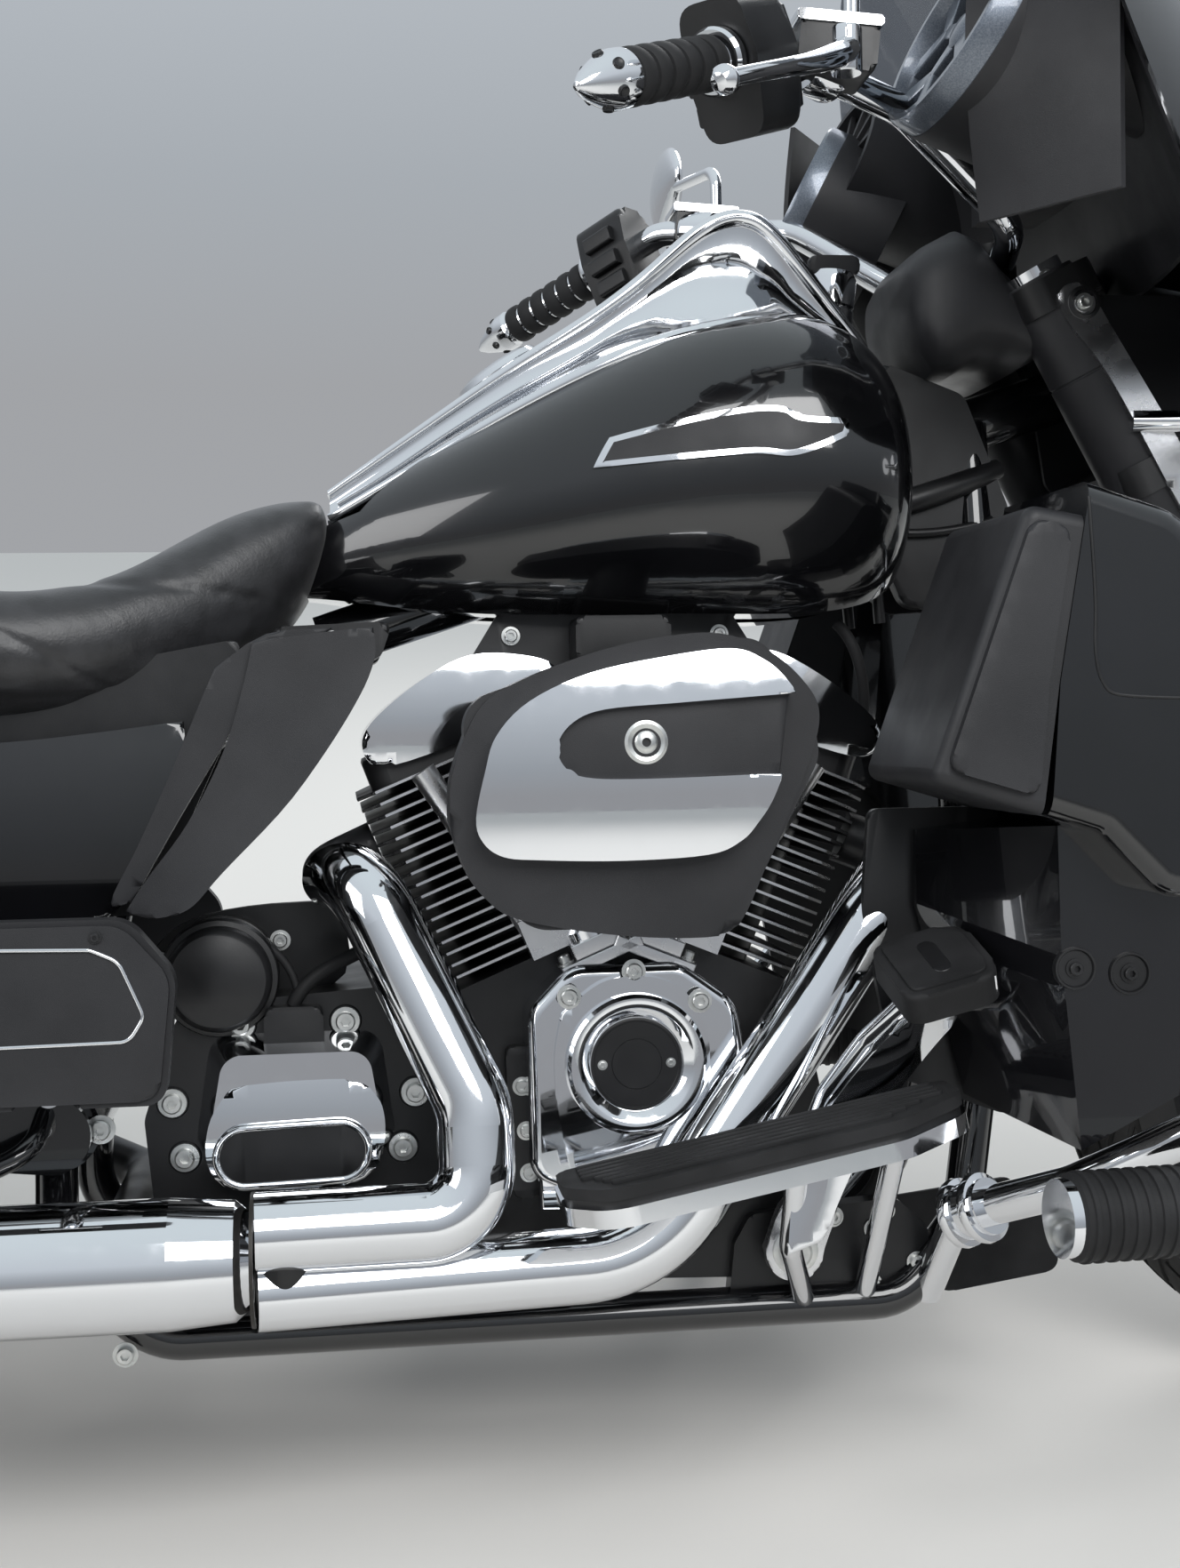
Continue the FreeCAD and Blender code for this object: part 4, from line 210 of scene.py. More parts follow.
def lathe(profile, centre, axis, steps=96, closed=True):
    """A turned shape: (radius, along) about an axis. A profile that starts on the axis isn't closed."""
    axis = Vector(axis).normalized()
    side = axis.orthogonal().normalized()
    other = axis.cross(side)
    verts, faces = [], []
    for angle in turns(steps):
        out = side * math.cos(angle) + other * math.sin(angle)
        verts += [Vector(centre) + axis * along + out * radius for radius, along in profile]
    count = len(profile)
    spans = count if closed and profile[0][0] > 0.01 else count - 1
    for i in range(steps):
        following = (i + 1) % steps
        for j in range(spans):
            k = (j + 1) % count
            faces.append((i * count + j, i * count + k, following * count + k, following * count + j))
    return verts, faces


def tree(name, sockets):
    """A geometry-node tree with named inputs besides its material."""
    sockets = [*sockets, ("Material", "NodeSocketMaterial")]
    group = bpy.data.node_groups.new(name, "GeometryNodeTree")
    group.interface.new_socket("Geometry", in_out="INPUT", socket_type="NodeSocketGeometry")
    keys = {label: group.interface.new_socket(label, in_out="INPUT", socket_type=kind).identifier
            for label, kind in sockets}
    group.interface.new_socket("Geometry", in_out="OUTPUT", socket_type="NodeSocketGeometry")
    return group, group.nodes, group.links, keys, group.nodes.new("NodeGroupInput")


def end_tree(group, geometry, entry):
    """Make instances real, give them the material and send them out."""
    nodes, links = group.nodes, group.links
    real = nodes.new("GeometryNodeRealizeInstances")
    painted = nodes.new("GeometryNodeSetMaterial")
    leave = nodes.new("NodeGroupOutput")
    links.new(geometry, real.inputs[0])
    links.new(real.outputs[0], painted.inputs["Geometry"])
    links.new(entry.outputs["Material"], painted.inputs["Material"])
    links.new(painted.outputs[0], leave.inputs[0])


# one shape repeated round an axis
REPEAT_INPUTS = [("Count", "NodeSocketInt"), ("Step", "NodeSocketVector")]
ring_tree, nodes, links, RING, entry = tree("repeat_round", REPEAT_INPUTS)
points = nodes.new("GeometryNodePoints")
index = nodes.new("GeometryNodeInputIndex")
turn = nodes.new("ShaderNodeVectorMath")
turn.operation = "SCALE"
put = nodes.new("GeometryNodeInstanceOnPoints")
links.new(entry.outputs["Count"], points.inputs["Count"])
links.new(entry.outputs["Step"], turn.inputs[0])
links.new(index.outputs[0], turn.inputs["Scale"])
links.new(points.outputs[0], put.inputs["Points"])
links.new(entry.outputs["Geometry"], put.inputs["Instance"])
links.new(turn.outputs[0], put.inputs["Rotation"])
end_tree(ring_tree, put.outputs[0], entry)

# one shape repeated in a straight row
row_tree, nodes, links, ROW, entry = tree("repeat_in_row", REPEAT_INPUTS)
line = nodes.new("GeometryNodeMeshLine")
put = nodes.new("GeometryNodeInstanceOnPoints")
links.new(entry.outputs["Count"], line.inputs["Count"])
links.new(entry.outputs["Step"], line.inputs["Offset"])
links.new(line.outputs[0], put.inputs["Points"])
links.new(entry.outputs["Geometry"], put.inputs["Instance"])
end_tree(row_tree, put.outputs[0], entry)


def evaluated(holder):
    """The mesh of an object with its modifiers applied."""
    return bpy.data.meshes.new_from_object(holder.evaluated_get(bpy.context.evaluated_depsgraph_get()))


def repeated(mesh, group, keys, settings):
    """The mesh that a tree makes of another."""
    holder = bpy.data.objects.new("unit", mesh)
    bpy.context.scene.collection.objects.link(holder)
    modifier = holder.modifiers.new("repeat", "NODES")
    modifier.node_group = group
    for label, value in settings.items():
        modifier[keys[label]] = value
    baked = evaluated(holder)
    bpy.data.objects.remove(holder)
    return baked


def bar_faces(rings):
    """The faces of a bar with four corners to a ring and both ends filled."""
    faces = [(4 * i + j, 4 * i + (j + 1) % 4, 4 * i + 4 + (j + 1) % 4, 4 * i + 4 + j) for i in range(rings - 1)
             for j in range(4)]
    last = 4 * (rings - 1)
    return faces + [(0, 1, 2, 3), (last, last + 1, last + 2, last + 3)]


def join(parts):
    """Several meshes' points and faces as one list of each."""
    verts, faces = [], []
    for more_verts, more_faces in parts:
        start = len(verts)
        verts += more_verts
        faces += [tuple(start + i for i in face) for face in more_faces]
    return verts, faces


TYRE_RADIUS = 320
TREAD_DEPTH = 3
tyre_rubber = finish("tyre_rubber", (500, 0.0004, 0.35), (12, 0.66, 0.85),
                     (9, (0.010, 0.010, 0.0105), (0.020, 0.0195, 0.019)), {"Specular IOR Level": 0.25})
for name, body, centre, width, rim, blocks in (
    ("front_tyre", "front_wheel", FRONT_AXLE, 130, 229, 54),
    ("rear_tyre", "rear_wheel", REAR_AXLE, 180, 216, 50),
):
    crown = width / 2
    shoulder = TYRE_RADIUS - crown
    bead = crown - 15

    def on_crown(angle, drop):
        """A point of the tyre's section at an angle from its middle, so far below the tread's top."""
        return (shoulder + (crown - drop) * math.cos(angle), (crown - drop) * math.sin(angle))

    profile = [(rim, -bead + 1), (rim + 4, -bead - 1), (rim + 10, -crown + 9),
               ((rim + shoulder) / 2, -crown + 3)]
    profile += [on_crown(-math.pi / 2 + 0.02, 0.5), on_crown(-1.22, 0.5), on_crown(-1.18, TREAD_DEPTH)]
    profile += [on_crown(-1.1 + 2.2 * i / 16, TREAD_DEPTH) for i in range(17)]
    profile += [on_crown(1.18, TREAD_DEPTH), on_crown(1.22, 0.5), on_crown(math.pi / 2 - 0.02, 0.5)]
    profile += [((rim + shoulder) / 2, crown - 3), (rim + 10, crown - 9), (rim + 4, bead + 1), (rim, bead - 1)]
    carcass = new_piece(name + "_carcass", lathe(profile, centre, (0, 1, 0), 144), tyre_rubber, body, sharp=50)
    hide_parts(name)
    parts = []
    for side in (1, -1):
        for start, end, swing in ((0.10, 0.52, 0.30), (0.58, 1.14, 0.42)):
            verts = []
            for i in range(7):
                angle = side * (start + (end - start) * i / 6)
                lead = swing * (abs(angle) - start) + (0.5 * math.tau / blocks if side < 0 else 0)
                for along, drop in ((0.0, TREAD_DEPTH + 0.5), (0.03, 0.3), (0.70, 0.3),
                                    (0.73, TREAD_DEPTH + 0.5)):
                    radius, across = on_crown(angle, drop)
                    around = lead + along * math.tau / blocks
                    verts.append(Vector((radius * math.sin(around), across, radius * math.cos(around))))
            parts.append((verts, bar_faces(7)))
    block_step = {"Count": blocks, "Step": (0, math.tau / blocks, 0), "Material": tyre_rubber}
    mesh = repeated(mesh_of("unit", join(parts)), ring_tree, RING, block_step)
    mesh.transform(Matrix.Translation(centre))
    settle(name + "_tread", mesh, tyre_rubber, body, 40)

# Cylinder fins
# Each cast cylinder and head carries seventeen fins; their rims are machined back to bright alloy.
CRANK = Vector((885, 0, 262))
BANK = math.radians(22.5)
DECK = 178
FIN_PITCH = 10.5
FIN_HALF_FORE, FIN_HALF_SIDE = 88, 96
FIN_COUNT = 17


def bank_matrix(side):
    """From a cylinder's own frame, Z along its bore, to the upright motorcycle."""
    return Matrix.Translation(CRANK) @ Matrix.Rotation(side * BANK, 4, "Y")


def band(path, height, proud):
    """A strip along a flat path of (x, y, outward x, outward y), standing a little proud."""
    verts = []
    for x, y, out_x, out_y in path:
        for lift, push in ((0, -0.5), (0, proud), (height, proud), (height, -0.5)):
            verts.append(Vector((x + out_x * push, y + out_y * push, lift)))
    return verts, bar_faces(len(path))


rims = []
for bank_side in (1, -1):
    for y_side in (1, -1):
        fore, across, cut = FIN_HALF_FORE, FIN_HALF_SIDE, 16
        path = [(-bank_side * (fore - cut), y_side * across, 0, y_side),
                (bank_side * (fore - cut), y_side * across, bank_side * 0.4, y_side * 0.9),
                (bank_side * fore, y_side * (across - cut), bank_side * 0.9, y_side * 0.4),
                (bank_side * fore, y_side * 20, bank_side, 0)]
        fin_step = {"Count": FIN_COUNT, "Step": (0, 0, FIN_PITCH), "Material": alloy}
        mesh = repeated(mesh_of("unit", band(path, 2.2, 0.5)), row_tree, ROW, fin_step)
        mesh.transform(bank_matrix(bank_side) @ Matrix.Translation((0, 0, DECK + FIN_PITCH - 2.6)))
        rims.append(shape_of(mesh))
new_piece("fin_rims", join(rims), alloy, sharp=30)


# Screws
# Socket and hex screws with washers hold the covers: bright zinc on the engine, black on the fairings.
def screw_shape(radius, height, socket):
    """A screw head with a washer and a six-sided socket, standing on the origin."""
    washer, chamfer, mouth, key = 1.45 * radius, 0.86 * radius, 0.60 * radius, 0.52 * radius
    profile = [(washer, 0), (washer, 0.18 * height), (radius, 0.2 * height), (radius, 0.86 * height),
               (chamfer, height), (mouth, height)]
    verts, faces = lathe(profile, (0, 0, 0), (0, 0, 1), 24, closed=False)
    inner = len(verts)
    for depth in (height, height - socket):
        verts += [Vector((key * math.cos(angle), key * math.sin(angle), depth)) for angle in turns(6)]
    rim = [6 * i + 5 for i in range(24)]
    for i in range(6):
        j = (i + 1) % 6
        faces.append((inner + i, inner + j, inner + 6 + j, inner + 6 + i))
    faces.append(tuple(inner + 6 + i for i in range(6)))
    order = sorted(range(24), key=lambda i: math.atan2(verts[rim[i]].y, verts[rim[i]].x) % math.tau)
    for i in range(6):
        for step in range(4):
            a, b = rim[order[(4 * i + step) % 24]], rim[order[(4 * i + step + 1) % 24]]
            faces.append((a, b, inner + (i + (1 if step > 1 else 0)) % 6))
        faces.append((rim[order[(4 * i + 2) % 24]], inner + i, inner + (i + 1) % 6))
    return verts, faces


zinc = finish("zinc_plate", (900, 0.0002, 0.2), (40, 0.24, 0.42),
              (60, (0.50, 0.51, 0.50), (0.66, 0.66, 0.64)), {"Metallic": 1.0})

# one screw head at every spot
scatter_tree, nodes, links, SCATTER, entry = tree("screws_on_spots", [("Screw", "NodeSocketObject")])
spots = nodes.new("GeometryNodeMeshToPoints")
chosen = nodes.new("GeometryNodeObjectInfo")
facing = nodes.new("GeometryNodeInputNamedAttribute")
facing.data_type = "FLOAT_VECTOR"
facing.inputs["Name"].default_value = "facing"
size = nodes.new("GeometryNodeInputNamedAttribute")
size.data_type = "FLOAT"
size.inputs["Name"].default_value = "size"
aim = nodes.new("FunctionNodeAlignRotationToVector")
aim.axis = "Z"
put = nodes.new("GeometryNodeInstanceOnPoints")
links.new(entry.outputs["Geometry"], spots.inputs["Mesh"])
links.new(entry.outputs["Screw"], chosen.inputs["Object"])
links.new(facing.outputs["Attribute"], aim.inputs["Vector"])
links.new(spots.outputs["Points"], put.inputs["Points"])
links.new(chosen.outputs["Geometry"], put.inputs["Instance"])
links.new(aim.outputs["Rotation"], put.inputs["Rotation"])
links.new(size.outputs["Attribute"], put.inputs["Scale"])
end_tree(scatter_tree, put.outputs[0], entry)


def screws(name, spots, material=zinc, body="chassis", height=0.9, socket=0.5):
    """Screw heads at (x, y, z, facing x, y, z, radius)."""
    screw = bpy.data.objects.new("screw", mesh_of("screw", screw_shape(1.0, height, socket)))
    bpy.context.scene.collection.objects.link(screw)
    mesh = mesh_of("spots", ([spot[:3] for spot in spots], []))
    facings = [part for spot in spots for part in spot[3:6]]
    mesh.attributes.new("facing", "FLOAT_VECTOR", "POINT").data.foreach_set("vector", facings)
    mesh.attributes.new("size", "FLOAT", "POINT").data.foreach_set("value", [spot[6] for spot in spots])
    baked = repeated(mesh, scatter_tree, SCATTER, {"Screw": screw, "Material": material})
    bpy.data.objects.remove(screw)
    return settle(name, baked, material, body, 30)


def side_screws(y, radius, *places):
    """Screws at (x, z) on a face at a distance to the side, looking straight out of it."""
    return [(x, y, z, 0, math.copysign(1, y), 0, radius) for x, z in places]


gearbox_bolts = [(569, 376), (654, 376), (513, 314), (710, 315), (522, 269), (699, 270)]
engine_spots = side_screws(-160, 6.8, (886, 416), (833, 397), (940, 390))
engine_spots += side_screws(-122, 5.4, (797, 319), (800, 282), (802, 247))
engine_spots += side_screws(-106, 8, *gearbox_bolts) + side_screws(-59, 6, (601, 439))
engine_spots += side_screws(-59, 5, (502, 425)) + side_screws(-140, 8, (460, 302))
screws("engine_screws", engine_spots)


def round_about(x, z, radius, angles):
    """Places (x, z) on a circle."""
    return [(x + radius * math.cos(angle), z + radius * math.sin(angle)) for angle in angles]


left_spots = side_screws(180, 5, *round_about(585, 274, 88, (1.2, 2.1, 3.1, 4.1, 5.0)))
left_spots += side_screws(180, 5, *round_about(885, 262, 80, (-1.2, -0.4, 0.4, 1.2)), (735, 346), (735, 190))
left_spots += side_screws(185, 4, *round_about(585, 274, 56, turns(5)))
screws("primary_screws", left_spots, chrome, height=0.7, socket=0.4)
disc_places = round_about(FRONT_AXLE.x, FRONT_AXLE.z, 60, turns(5))
disc_spots = side_screws(68, 5, *disc_places) + side_screws(-68, 5, *disc_places)
screws("front_disc_screws", disc_spots, zinc, "front_wheel", height=0.7, socket=0.4)


# Air cleaner
# A chromed, crowned cover open at its front edge, where a black insert with one round screw lies lower,
# over a black moulded housing. Both are pressings held by that screw.
def flow(points, steps=5):
    """A smooth line through points, each (x, z)."""
    points = [Vector(point) for point in points]
    ends = [points[0] * 2 - points[1]] + points + [points[-1] * 2 - points[-2]]
    line = []
    for a, b, c, d in zip(ends, ends[1:], ends[2:], ends[3:]):
        for i in range(steps):
            t = i / steps
            line.append(0.5 * (2 * b + (c - a) * t + (2 * a - 5 * b + 4 * c - d) * t * t
                               + (3 * b - a - 3 * c + d) * t ** 3))
    return line + [points[-1]]


def edge_of(start, *runs):
    """A closed outline of smooth runs (steps, points), each going on from the one before."""
    line = []
    for steps, points in runs:
        line += flow([start, *points], steps)[:-1]
        start = points[-1]
    return line


def rounded(points, steps=6):
    """A closed outline through (x, z, corner radius)."""
    outline = []
    count = len(points)
    for i, (x, z, radius) in enumerate(points):
        here = Vector((x, z))
        if radius <= 0:
            outline.append(here)
            continue
        before = (Vector(points[i - 1][:2]) - here).normalized()
        after = (Vector(points[(i + 1) % count][:2]) - here).normalized()
        half = before.angle(after) / 2
        reach = radius / math.tan(half)
        for j in range(steps + 1):
            t = j / steps
            first, last = here + before * reach, here + after * reach
            outline.append(first * (1 - t) ** 2 + here * 2 * t * (1 - t) + last * t * t)
    return outline


def inset(outline, distance):
    """The outline moved inwards, or outwards when negative."""
    area = sum(a.x * b.y - b.x * a.y for a, b in zip(outline, outline[1:] + outline[:1]))
    turn = 1 if area > 0 else -1
    moved = []
    for i, here in enumerate(outline):
        before = (here - outline[i - 1]).normalized()
        after = (outline[(i + 1) % len(outline)] - here).normalized()
        normal = Vector((-(before + after).y, (before + after).x))
        if normal.length < 1e-6:
            continue
        normal.normalize()
        share = max(0.5, normal.dot(Vector((-before.y, before.x))))
        moved.append(here + normal * (turn * distance / share))
    return moved


def plate(outline, y_in, y_out, bevel=1.5, steps=3, bulge=None, grid=12):
    """A slab from a side outline with a rounded outer edge; a bulge(x, z) crowns its outer face."""
    shape = bmesh.new()
    low = [shape.verts.new((p.x, y_in, p.y)) for p in outline]
    high = [shape.verts.new((p.x, y_out, p.y)) for p in outline]
    shape.faces.new(low)
    top = shape.faces.new(high)
    for i in range(len(outline)):
        j = (i + 1) % len(outline)
        shape.faces.new((low[i], low[j], high[j], high[i]))
    if bevel:
        bmesh.ops.bevel(shape, geom=list(top.edges), offset=bevel, segments=steps, profile=0.6, affect="EDGES",
                        clamp_overlap=True)
    if bulge:
        for axis in (0, 2):
            places = [v.co[axis] for v in shape.verts]
            cut = min(places) + grid / 2
            while cut < max(places):
                spot, across = Vector((0, 0, 0)), Vector((0, 0, 0))
                spot[axis], across[axis] = cut, 1
                bmesh.ops.bisect_plane(shape, geom=shape.verts[:] + shape.edges[:] + shape.faces[:],
                                       plane_co=spot, plane_no=across)
                cut += grid
        for v in shape.verts:
            v.co.y += (v.co.y - y_in) / (y_out - y_in) * bulge(v.co.x, v.co.z)
    bmesh.ops.triangulate(shape, faces=[face for face in shape.faces if len(face.verts) > 4])
    shape.verts.index_update()
    verts = [v.co.copy() for v in shape.verts]
    faces = [tuple(v.index for v in face.verts) for face in shape.faces]
    shape.free()
    return verts, faces


def crown(rise, middle, half):
    """A bulge that is highest at one height and dies out above and below it."""
    return lambda x, z: rise * max(0, 1 - ((z - middle) / half) ** 2)


def flat_face(x, z):
    """No bulge, for a face that is only to be divided finely."""
    return 0.0


def other_side(shape):
    """The same shape across the centre plane."""
    verts, faces = shape
    return [Vector((v.x, -v.y, v.z)) for v in verts], [tuple(reversed(face)) for face in faces]


def on_side(side, x, y, z):
    """A point on the left, 1, or the right, -1."""
    return Vector((x, side * y, z))


def both(*shapes):
    """Shapes and their mirror images in one."""
    return join([part for shape in shapes for part in (shape, other_side(shape))])


def slot_line(x1, z1, x2, z2, radius, steps=16):
    """The outline round a straight slot."""
    a, b = Vector((x1, z1)), Vector((x2, z2))
    heading = math.atan2(b.y - a.y, b.x - a.x)
    line = []
    for centre, start in ((b, heading - math.pi / 2), (a, heading + math.pi / 2)):
        line += [centre + Vector((math.cos(start + math.pi * i / steps),
                                  math.sin(start + math.pi * i / steps))) * radius for i in range(steps + 1)]
    return line


def cleaner_crown(x, z):
    """How far the air cleaner's face swells out at a place."""
    return -9 * max(0, 1 - ((z - 592) / 86) ** 2) - 5 * max(0, 1 - ((x - 900) / 150) ** 2)


cover_edge = flow([(984, 577), (975, 556), (965, 541), (952, 527), (927, 517), (864, 514), (800, 516),
                   (773, 519), (758, 530), (753, 548), (760, 582), (769, 609), (794, 634), (839, 654),
                   (899, 666), (948, 671), (972, 662), (986, 650), (996, 637)])
recess_edge = flow([(996, 637), (950, 634), (905, 631), (850, 627), (826, 618), (814, 602), (818, 586),
                    (834, 577), (880, 575), (984, 577)])
cover_shape = plate(cover_edge + recess_edge[1:-1], -250, -270, 4, 4, cleaner_crown, 8)
cover = new_piece("air_cleaner_cover", cover_shape, chrome, sharp=50)
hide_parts("air_cleaner")
insert_edge = flow([(982, 570), (900, 566), (830, 568), (806, 584), (804, 602), (816, 624), (850, 636),
                    (905, 640), (992, 645)])
new_piece("air_cleaner_insert", plate(insert_edge, -248, -262, 1, 2, cleaner_crown, 8), moulding, sharp=50)
housing_edge = flow([(735, 552), (738, 582), (757, 627), (786, 648), (852, 672), (912, 683), (950, 682),
                     (986, 666), (1012, 640), (1019, 618), (1011, 586), (994, 545), (976, 506), (957, 466),
                     (938, 453), (869, 455), (789, 469), (760, 487), (744, 513), (733, 552)])[:-1]
new_piece("air_cleaner_housing", plate(housing_edge, -209, -254, 12, 5), moulding, sharp=50)
screw_ring = lathe([(9, 0), (16, 0), (17, 2), (16.4, 5), (14, 6), (10.5, 4.6), (9, 2)], (881, -271, 602),
                   (0, -1, 0), 64)
screw_core = lathe([(0.01, 0), (8.4, 0), (8.6, 5), (6.5, 6.6), (3.4, 6.8), (3.2, 4), (0.01, 4)],
                   (881, -271, 602), (0, -1, 0), 48)
new_piece("air_cleaner_screw", join([screw_ring, screw_core]), zinc)

# Cam cover
# A chromed bowl with a broad ring and a dark disc on two rivets, beside a chromed edge plate.
bowl = flow([(827, 384), (821, 350), (822, 314), (828, 276), (836, 243), (842, 236), (859, 238), (895, 250),
             (920, 272), (944, 314), (948, 345), (944, 369), (929, 397), (908, 409), (885, 412), (858, 407),
             (827, 384)])[:-1]
new_piece("cam_bowl", plate(bowl, -148, -158, 5, 4, lambda x, z: -4 * max(0, 1 - ((x - 885) / 70) ** 2), 10),
          chrome, sharp=40)
edge_plate = [Vector(p) for p in ((808, 222), (832, 221), (817, 300), (815, 345), (828, 383), (800, 373),
                                  (806, 340))]
new_piece("cam_edge_plate", plate(edge_plate, -136, -150, 3, 3), chrome)
ring_profile = [(37, 158), (38.5, 163), (45.5, 168), (47.5, 169), (54, 169), (57, 167), (58.4, 160), (58, 152),
                (37, 152)]
new_piece("cam_ring", lathe(ring_profile, (887, 0, 341), (0, -1, 0), 96), chrome, sharp=28)
disc_profile = [(0.01, 163.6), (20, 163.6), (20.6, 162.6), (34.2, 162.6), (34.6, 163), (35.4, 163),
                (35.8, 162.4), (37.4, 162), (37.6, 156), (0.01, 156)]
new_piece("cam_disc", lathe(disc_profile, (887, 0, 341), (0, -1, 0), 96), satin_black, sharp=28)
screws("cam_rivets", side_screws(-162.4, 2.8, (915, 341), (859, 341)), height=0.6, socket=0.3)
column = plate(rounded([(788, 226, 8), (812, 226, 8), (812, 352, 8), (784, 352, 8)]), -100, -122, 2)
new_piece("cam_column", column, satin_black)

# Lifter blocks
# Two-step bright alloy blocks bolted over the tappets; a chromed pushrod foot rises from each.
def across_bank(side, across, along, y):
    """A point of a cylinder's own frame on the upright motorcycle."""
    return bank_matrix(side) @ Vector((across, y, along))


def bank_plate(side, corners, y_in, y_out, bevel):
    """A small block drawn across a bank as (across, along)."""
    spots = [across_bank(side, side * across, along, 0) for across, along in corners]
    return plate([Vector((spot.x, spot.z)) for spot in spots], y_in, y_out, bevel)


blocks, feet, block_screws = [], [], []
for side in (1, -1):
    blocks.append(bank_plate(side, [(-78, 155), (-8, 155), (-8, 165), (-78, 165)], -98, -146, 2))
    blocks.append(bank_plate(side, [(-62, 165), (-22, 165), (-22, 178), (-62, 178)], -98, -142, 2))
    up = (bank_matrix(side).to_3x3() @ Vector((0, 0, 1))).normalized()
    root = across_bank(side, -side * 42, 178, -122)
    feet.append(lathe([(0.01, 0), (19, 0), (19, 8), (15, 12), (13, 44), (14, 48), (14, 56), (0.01, 56)], root,
                      up, 48))
    for across in (-72, -14):
        spot = across_bank(side, side * across, 165, -130)
        block_screws.append((spot.x, spot.y, spot.z, up.x, up.y, up.z, 5))
new_piece("lifter_blocks", join(blocks), alloy)
new_piece("pushrod_feet", join(feet), chrome)
screws("lifter_screws", block_screws, height=1.6, socket=0.5)

# Gearbox end
# A chromed end cover with a stepped top and an oval window plate; its black flange takes six large bolts.
end_cover = flow([(562, 331), (612, 334), (662, 333), (674, 324), (682, 311), (684, 290), (679, 266),
                  (660, 249), (610, 247), (560, 248), (546, 262), (541, 280), (546, 307), (562, 331)], 4)[:-1]
new_piece("gearbox_end_cover", plate(end_cover, -116, -138, 5, 4, crown(-3, 290, 46), 10), chrome, sharp=40)
end_step = rounded([(562, 328, 2), (662, 328, 2), (655, 350, 4), (565, 347, 4)])
new_piece("gearbox_end_step", plate(end_step, -112, -131, 3), chrome)
new_piece("window_plate", plate(slot_line(573, 275, 647, 277, 22), -134, -144.5, 1.0), satin_black)


def run(name, points, radius, closed=False, tapers=None):
    """A smooth round line through points, as thick as radius, or as the radius times each of tapers."""
    curve = bpy.data.curves.new(name, "CURVE")
    curve.dimensions = "3D"
    curve.bevel_depth = radius
    curve.bevel_resolution = 4
    curve.use_fill_caps = True
    spline = curve.splines.new("NURBS")
    spline.points.add(len(points) - 1)
    for i, (spot, point) in enumerate(zip(spline.points, points)):
        spot.co = (*point, 1)
        spot.radius = tapers[i] if tapers else 1.0
    spline.order_u = min(4, len(points))
    spline.use_endpoint_u = not closed
    spline.use_cyclic_u = closed
    spline.resolution_u = 8
    holder = bpy.data.objects.new(name, curve)
    bpy.context.scene.collection.objects.link(holder)
    mesh = evaluated(holder)
    bpy.data.objects.remove(holder)
    return shape_of(mesh)


window_line = slot_line(573, 275, 647, 277, 23.5)
new_piece("window_rim", run("window_rim", [(p.x, -143, p.y) for p in window_line], 3.4, closed=True), chrome)
bosses = [lathe([(0.01, 88), (15, 88), (13.5, 104), (12.5, 106), (0.01, 106)], (x, 0, z), (0, -1, 0), 32)
          for x, z in gearbox_bolts]
vent_block = plate(rounded([(587, 340, 4), (637, 340, 4), (636, 391, 8), (589, 391, 8)]), -98, -121, 4)
starter = lathe([(0.01, 128), (34, 128), (36, 127), (38, 127), (41, 124), (43, 119), (43, 76), (47, 74),
                 (47, 60), (43, 58), (43, 46), (0.01, 46)], (553, 0, 415), (0, -1, 0), 72)
starter_lip = lathe([(42, 112), (47, 111), (48.5, 107), (48.5, 100), (42, 98)], (553, 0, 415), (0, -1, 0), 72)
back_plate = plate(flow([(478, 400), (500, 440), (540, 462), (610, 470), (652, 462), (640, 396), (478, 400)],
                        4)[:-1], -48, -58, 2)
new_piece("gearbox_flange", join([*bosses, vent_block, starter, starter_lip, back_plate]), satin_black)


# Hoses and plug leads
# Rubber hoses and sheathed leads run round the engine, each pushed on at both ends.
hoses = join([run("hose", points, radius) for points, radius in (
    ([(612, -108, 391), (620, -110, 410), (650, -96, 424), (690, -80, 440), (712, -60, 450)], 6),
    ([(560, -100, 452), (590, -96, 446), (612, -104, 428), (616, -108, 400)], 3.4),
    ([(1040, -70, 200), (1086, -92, 180), (1120, -96, 230), (1132, -90, 330), (1140, -80, 420)], 7),
    ([(724, -64, 566), (712, -84, 584), (716, -88, 612), (732, -80, 640), (760, -50, 660)], 4.2),
    ([(1052, -64, 566), (1066, -84, 584), (1058, -88, 612), (1040, -80, 640), (1012, -50, 660)], 4.2),
    ([(1084, -60, 700), (1104, -70, 680), (1112, -60, 640), (1110, -40, 600)], 5),
    ([(520, -150, 150), (560, -152, 158), (760, -150, 160), (836, -146, 176)], 5),
)])
new_piece("hoses", hoses, rubber, sharp=60)

# Exhaust trim
# Clamp bands close the joints between the shields and the mufflers; dark seams show where they meet. A dark
# disc a little inside each muffler's outlet is partly the pipe's soot and partly painted shade of its depth.
seam_soot_and_shade = finish("sooty_steel_and_painted_shade", (600, 0.0003, 0.4), (20, 0.5, 0.7),
                   (30, (0.02, 0.018, 0.016), (0.06, 0.055, 0.05)), {"Metallic": 0.6})
MUFFLER = Vector((0, 236, 218))
seam_profile, throat_profile = [(43, -1.4), (50.2, -1.4), (50.2, 1.4), (43, 1.4)], [(0.01, 18), (35, 18),
        (35, 20), (0.01, 20)]
joints = [lathe(seam_profile, (582, side * MUFFLER.y, MUFFLER.z), (1, 0, 0), 72) for side in (1, -1)]
# discs closing the outlets: soot, and painted shade standing in for the pipe's dark inside
throats = [lathe(throat_profile, (-430, side * MUFFLER.y, MUFFLER.z), (1, 0, 0), 48) for side in (1, -1)]
new_piece("muffler_joints", join(joints + throats), seam_soot_and_shade)

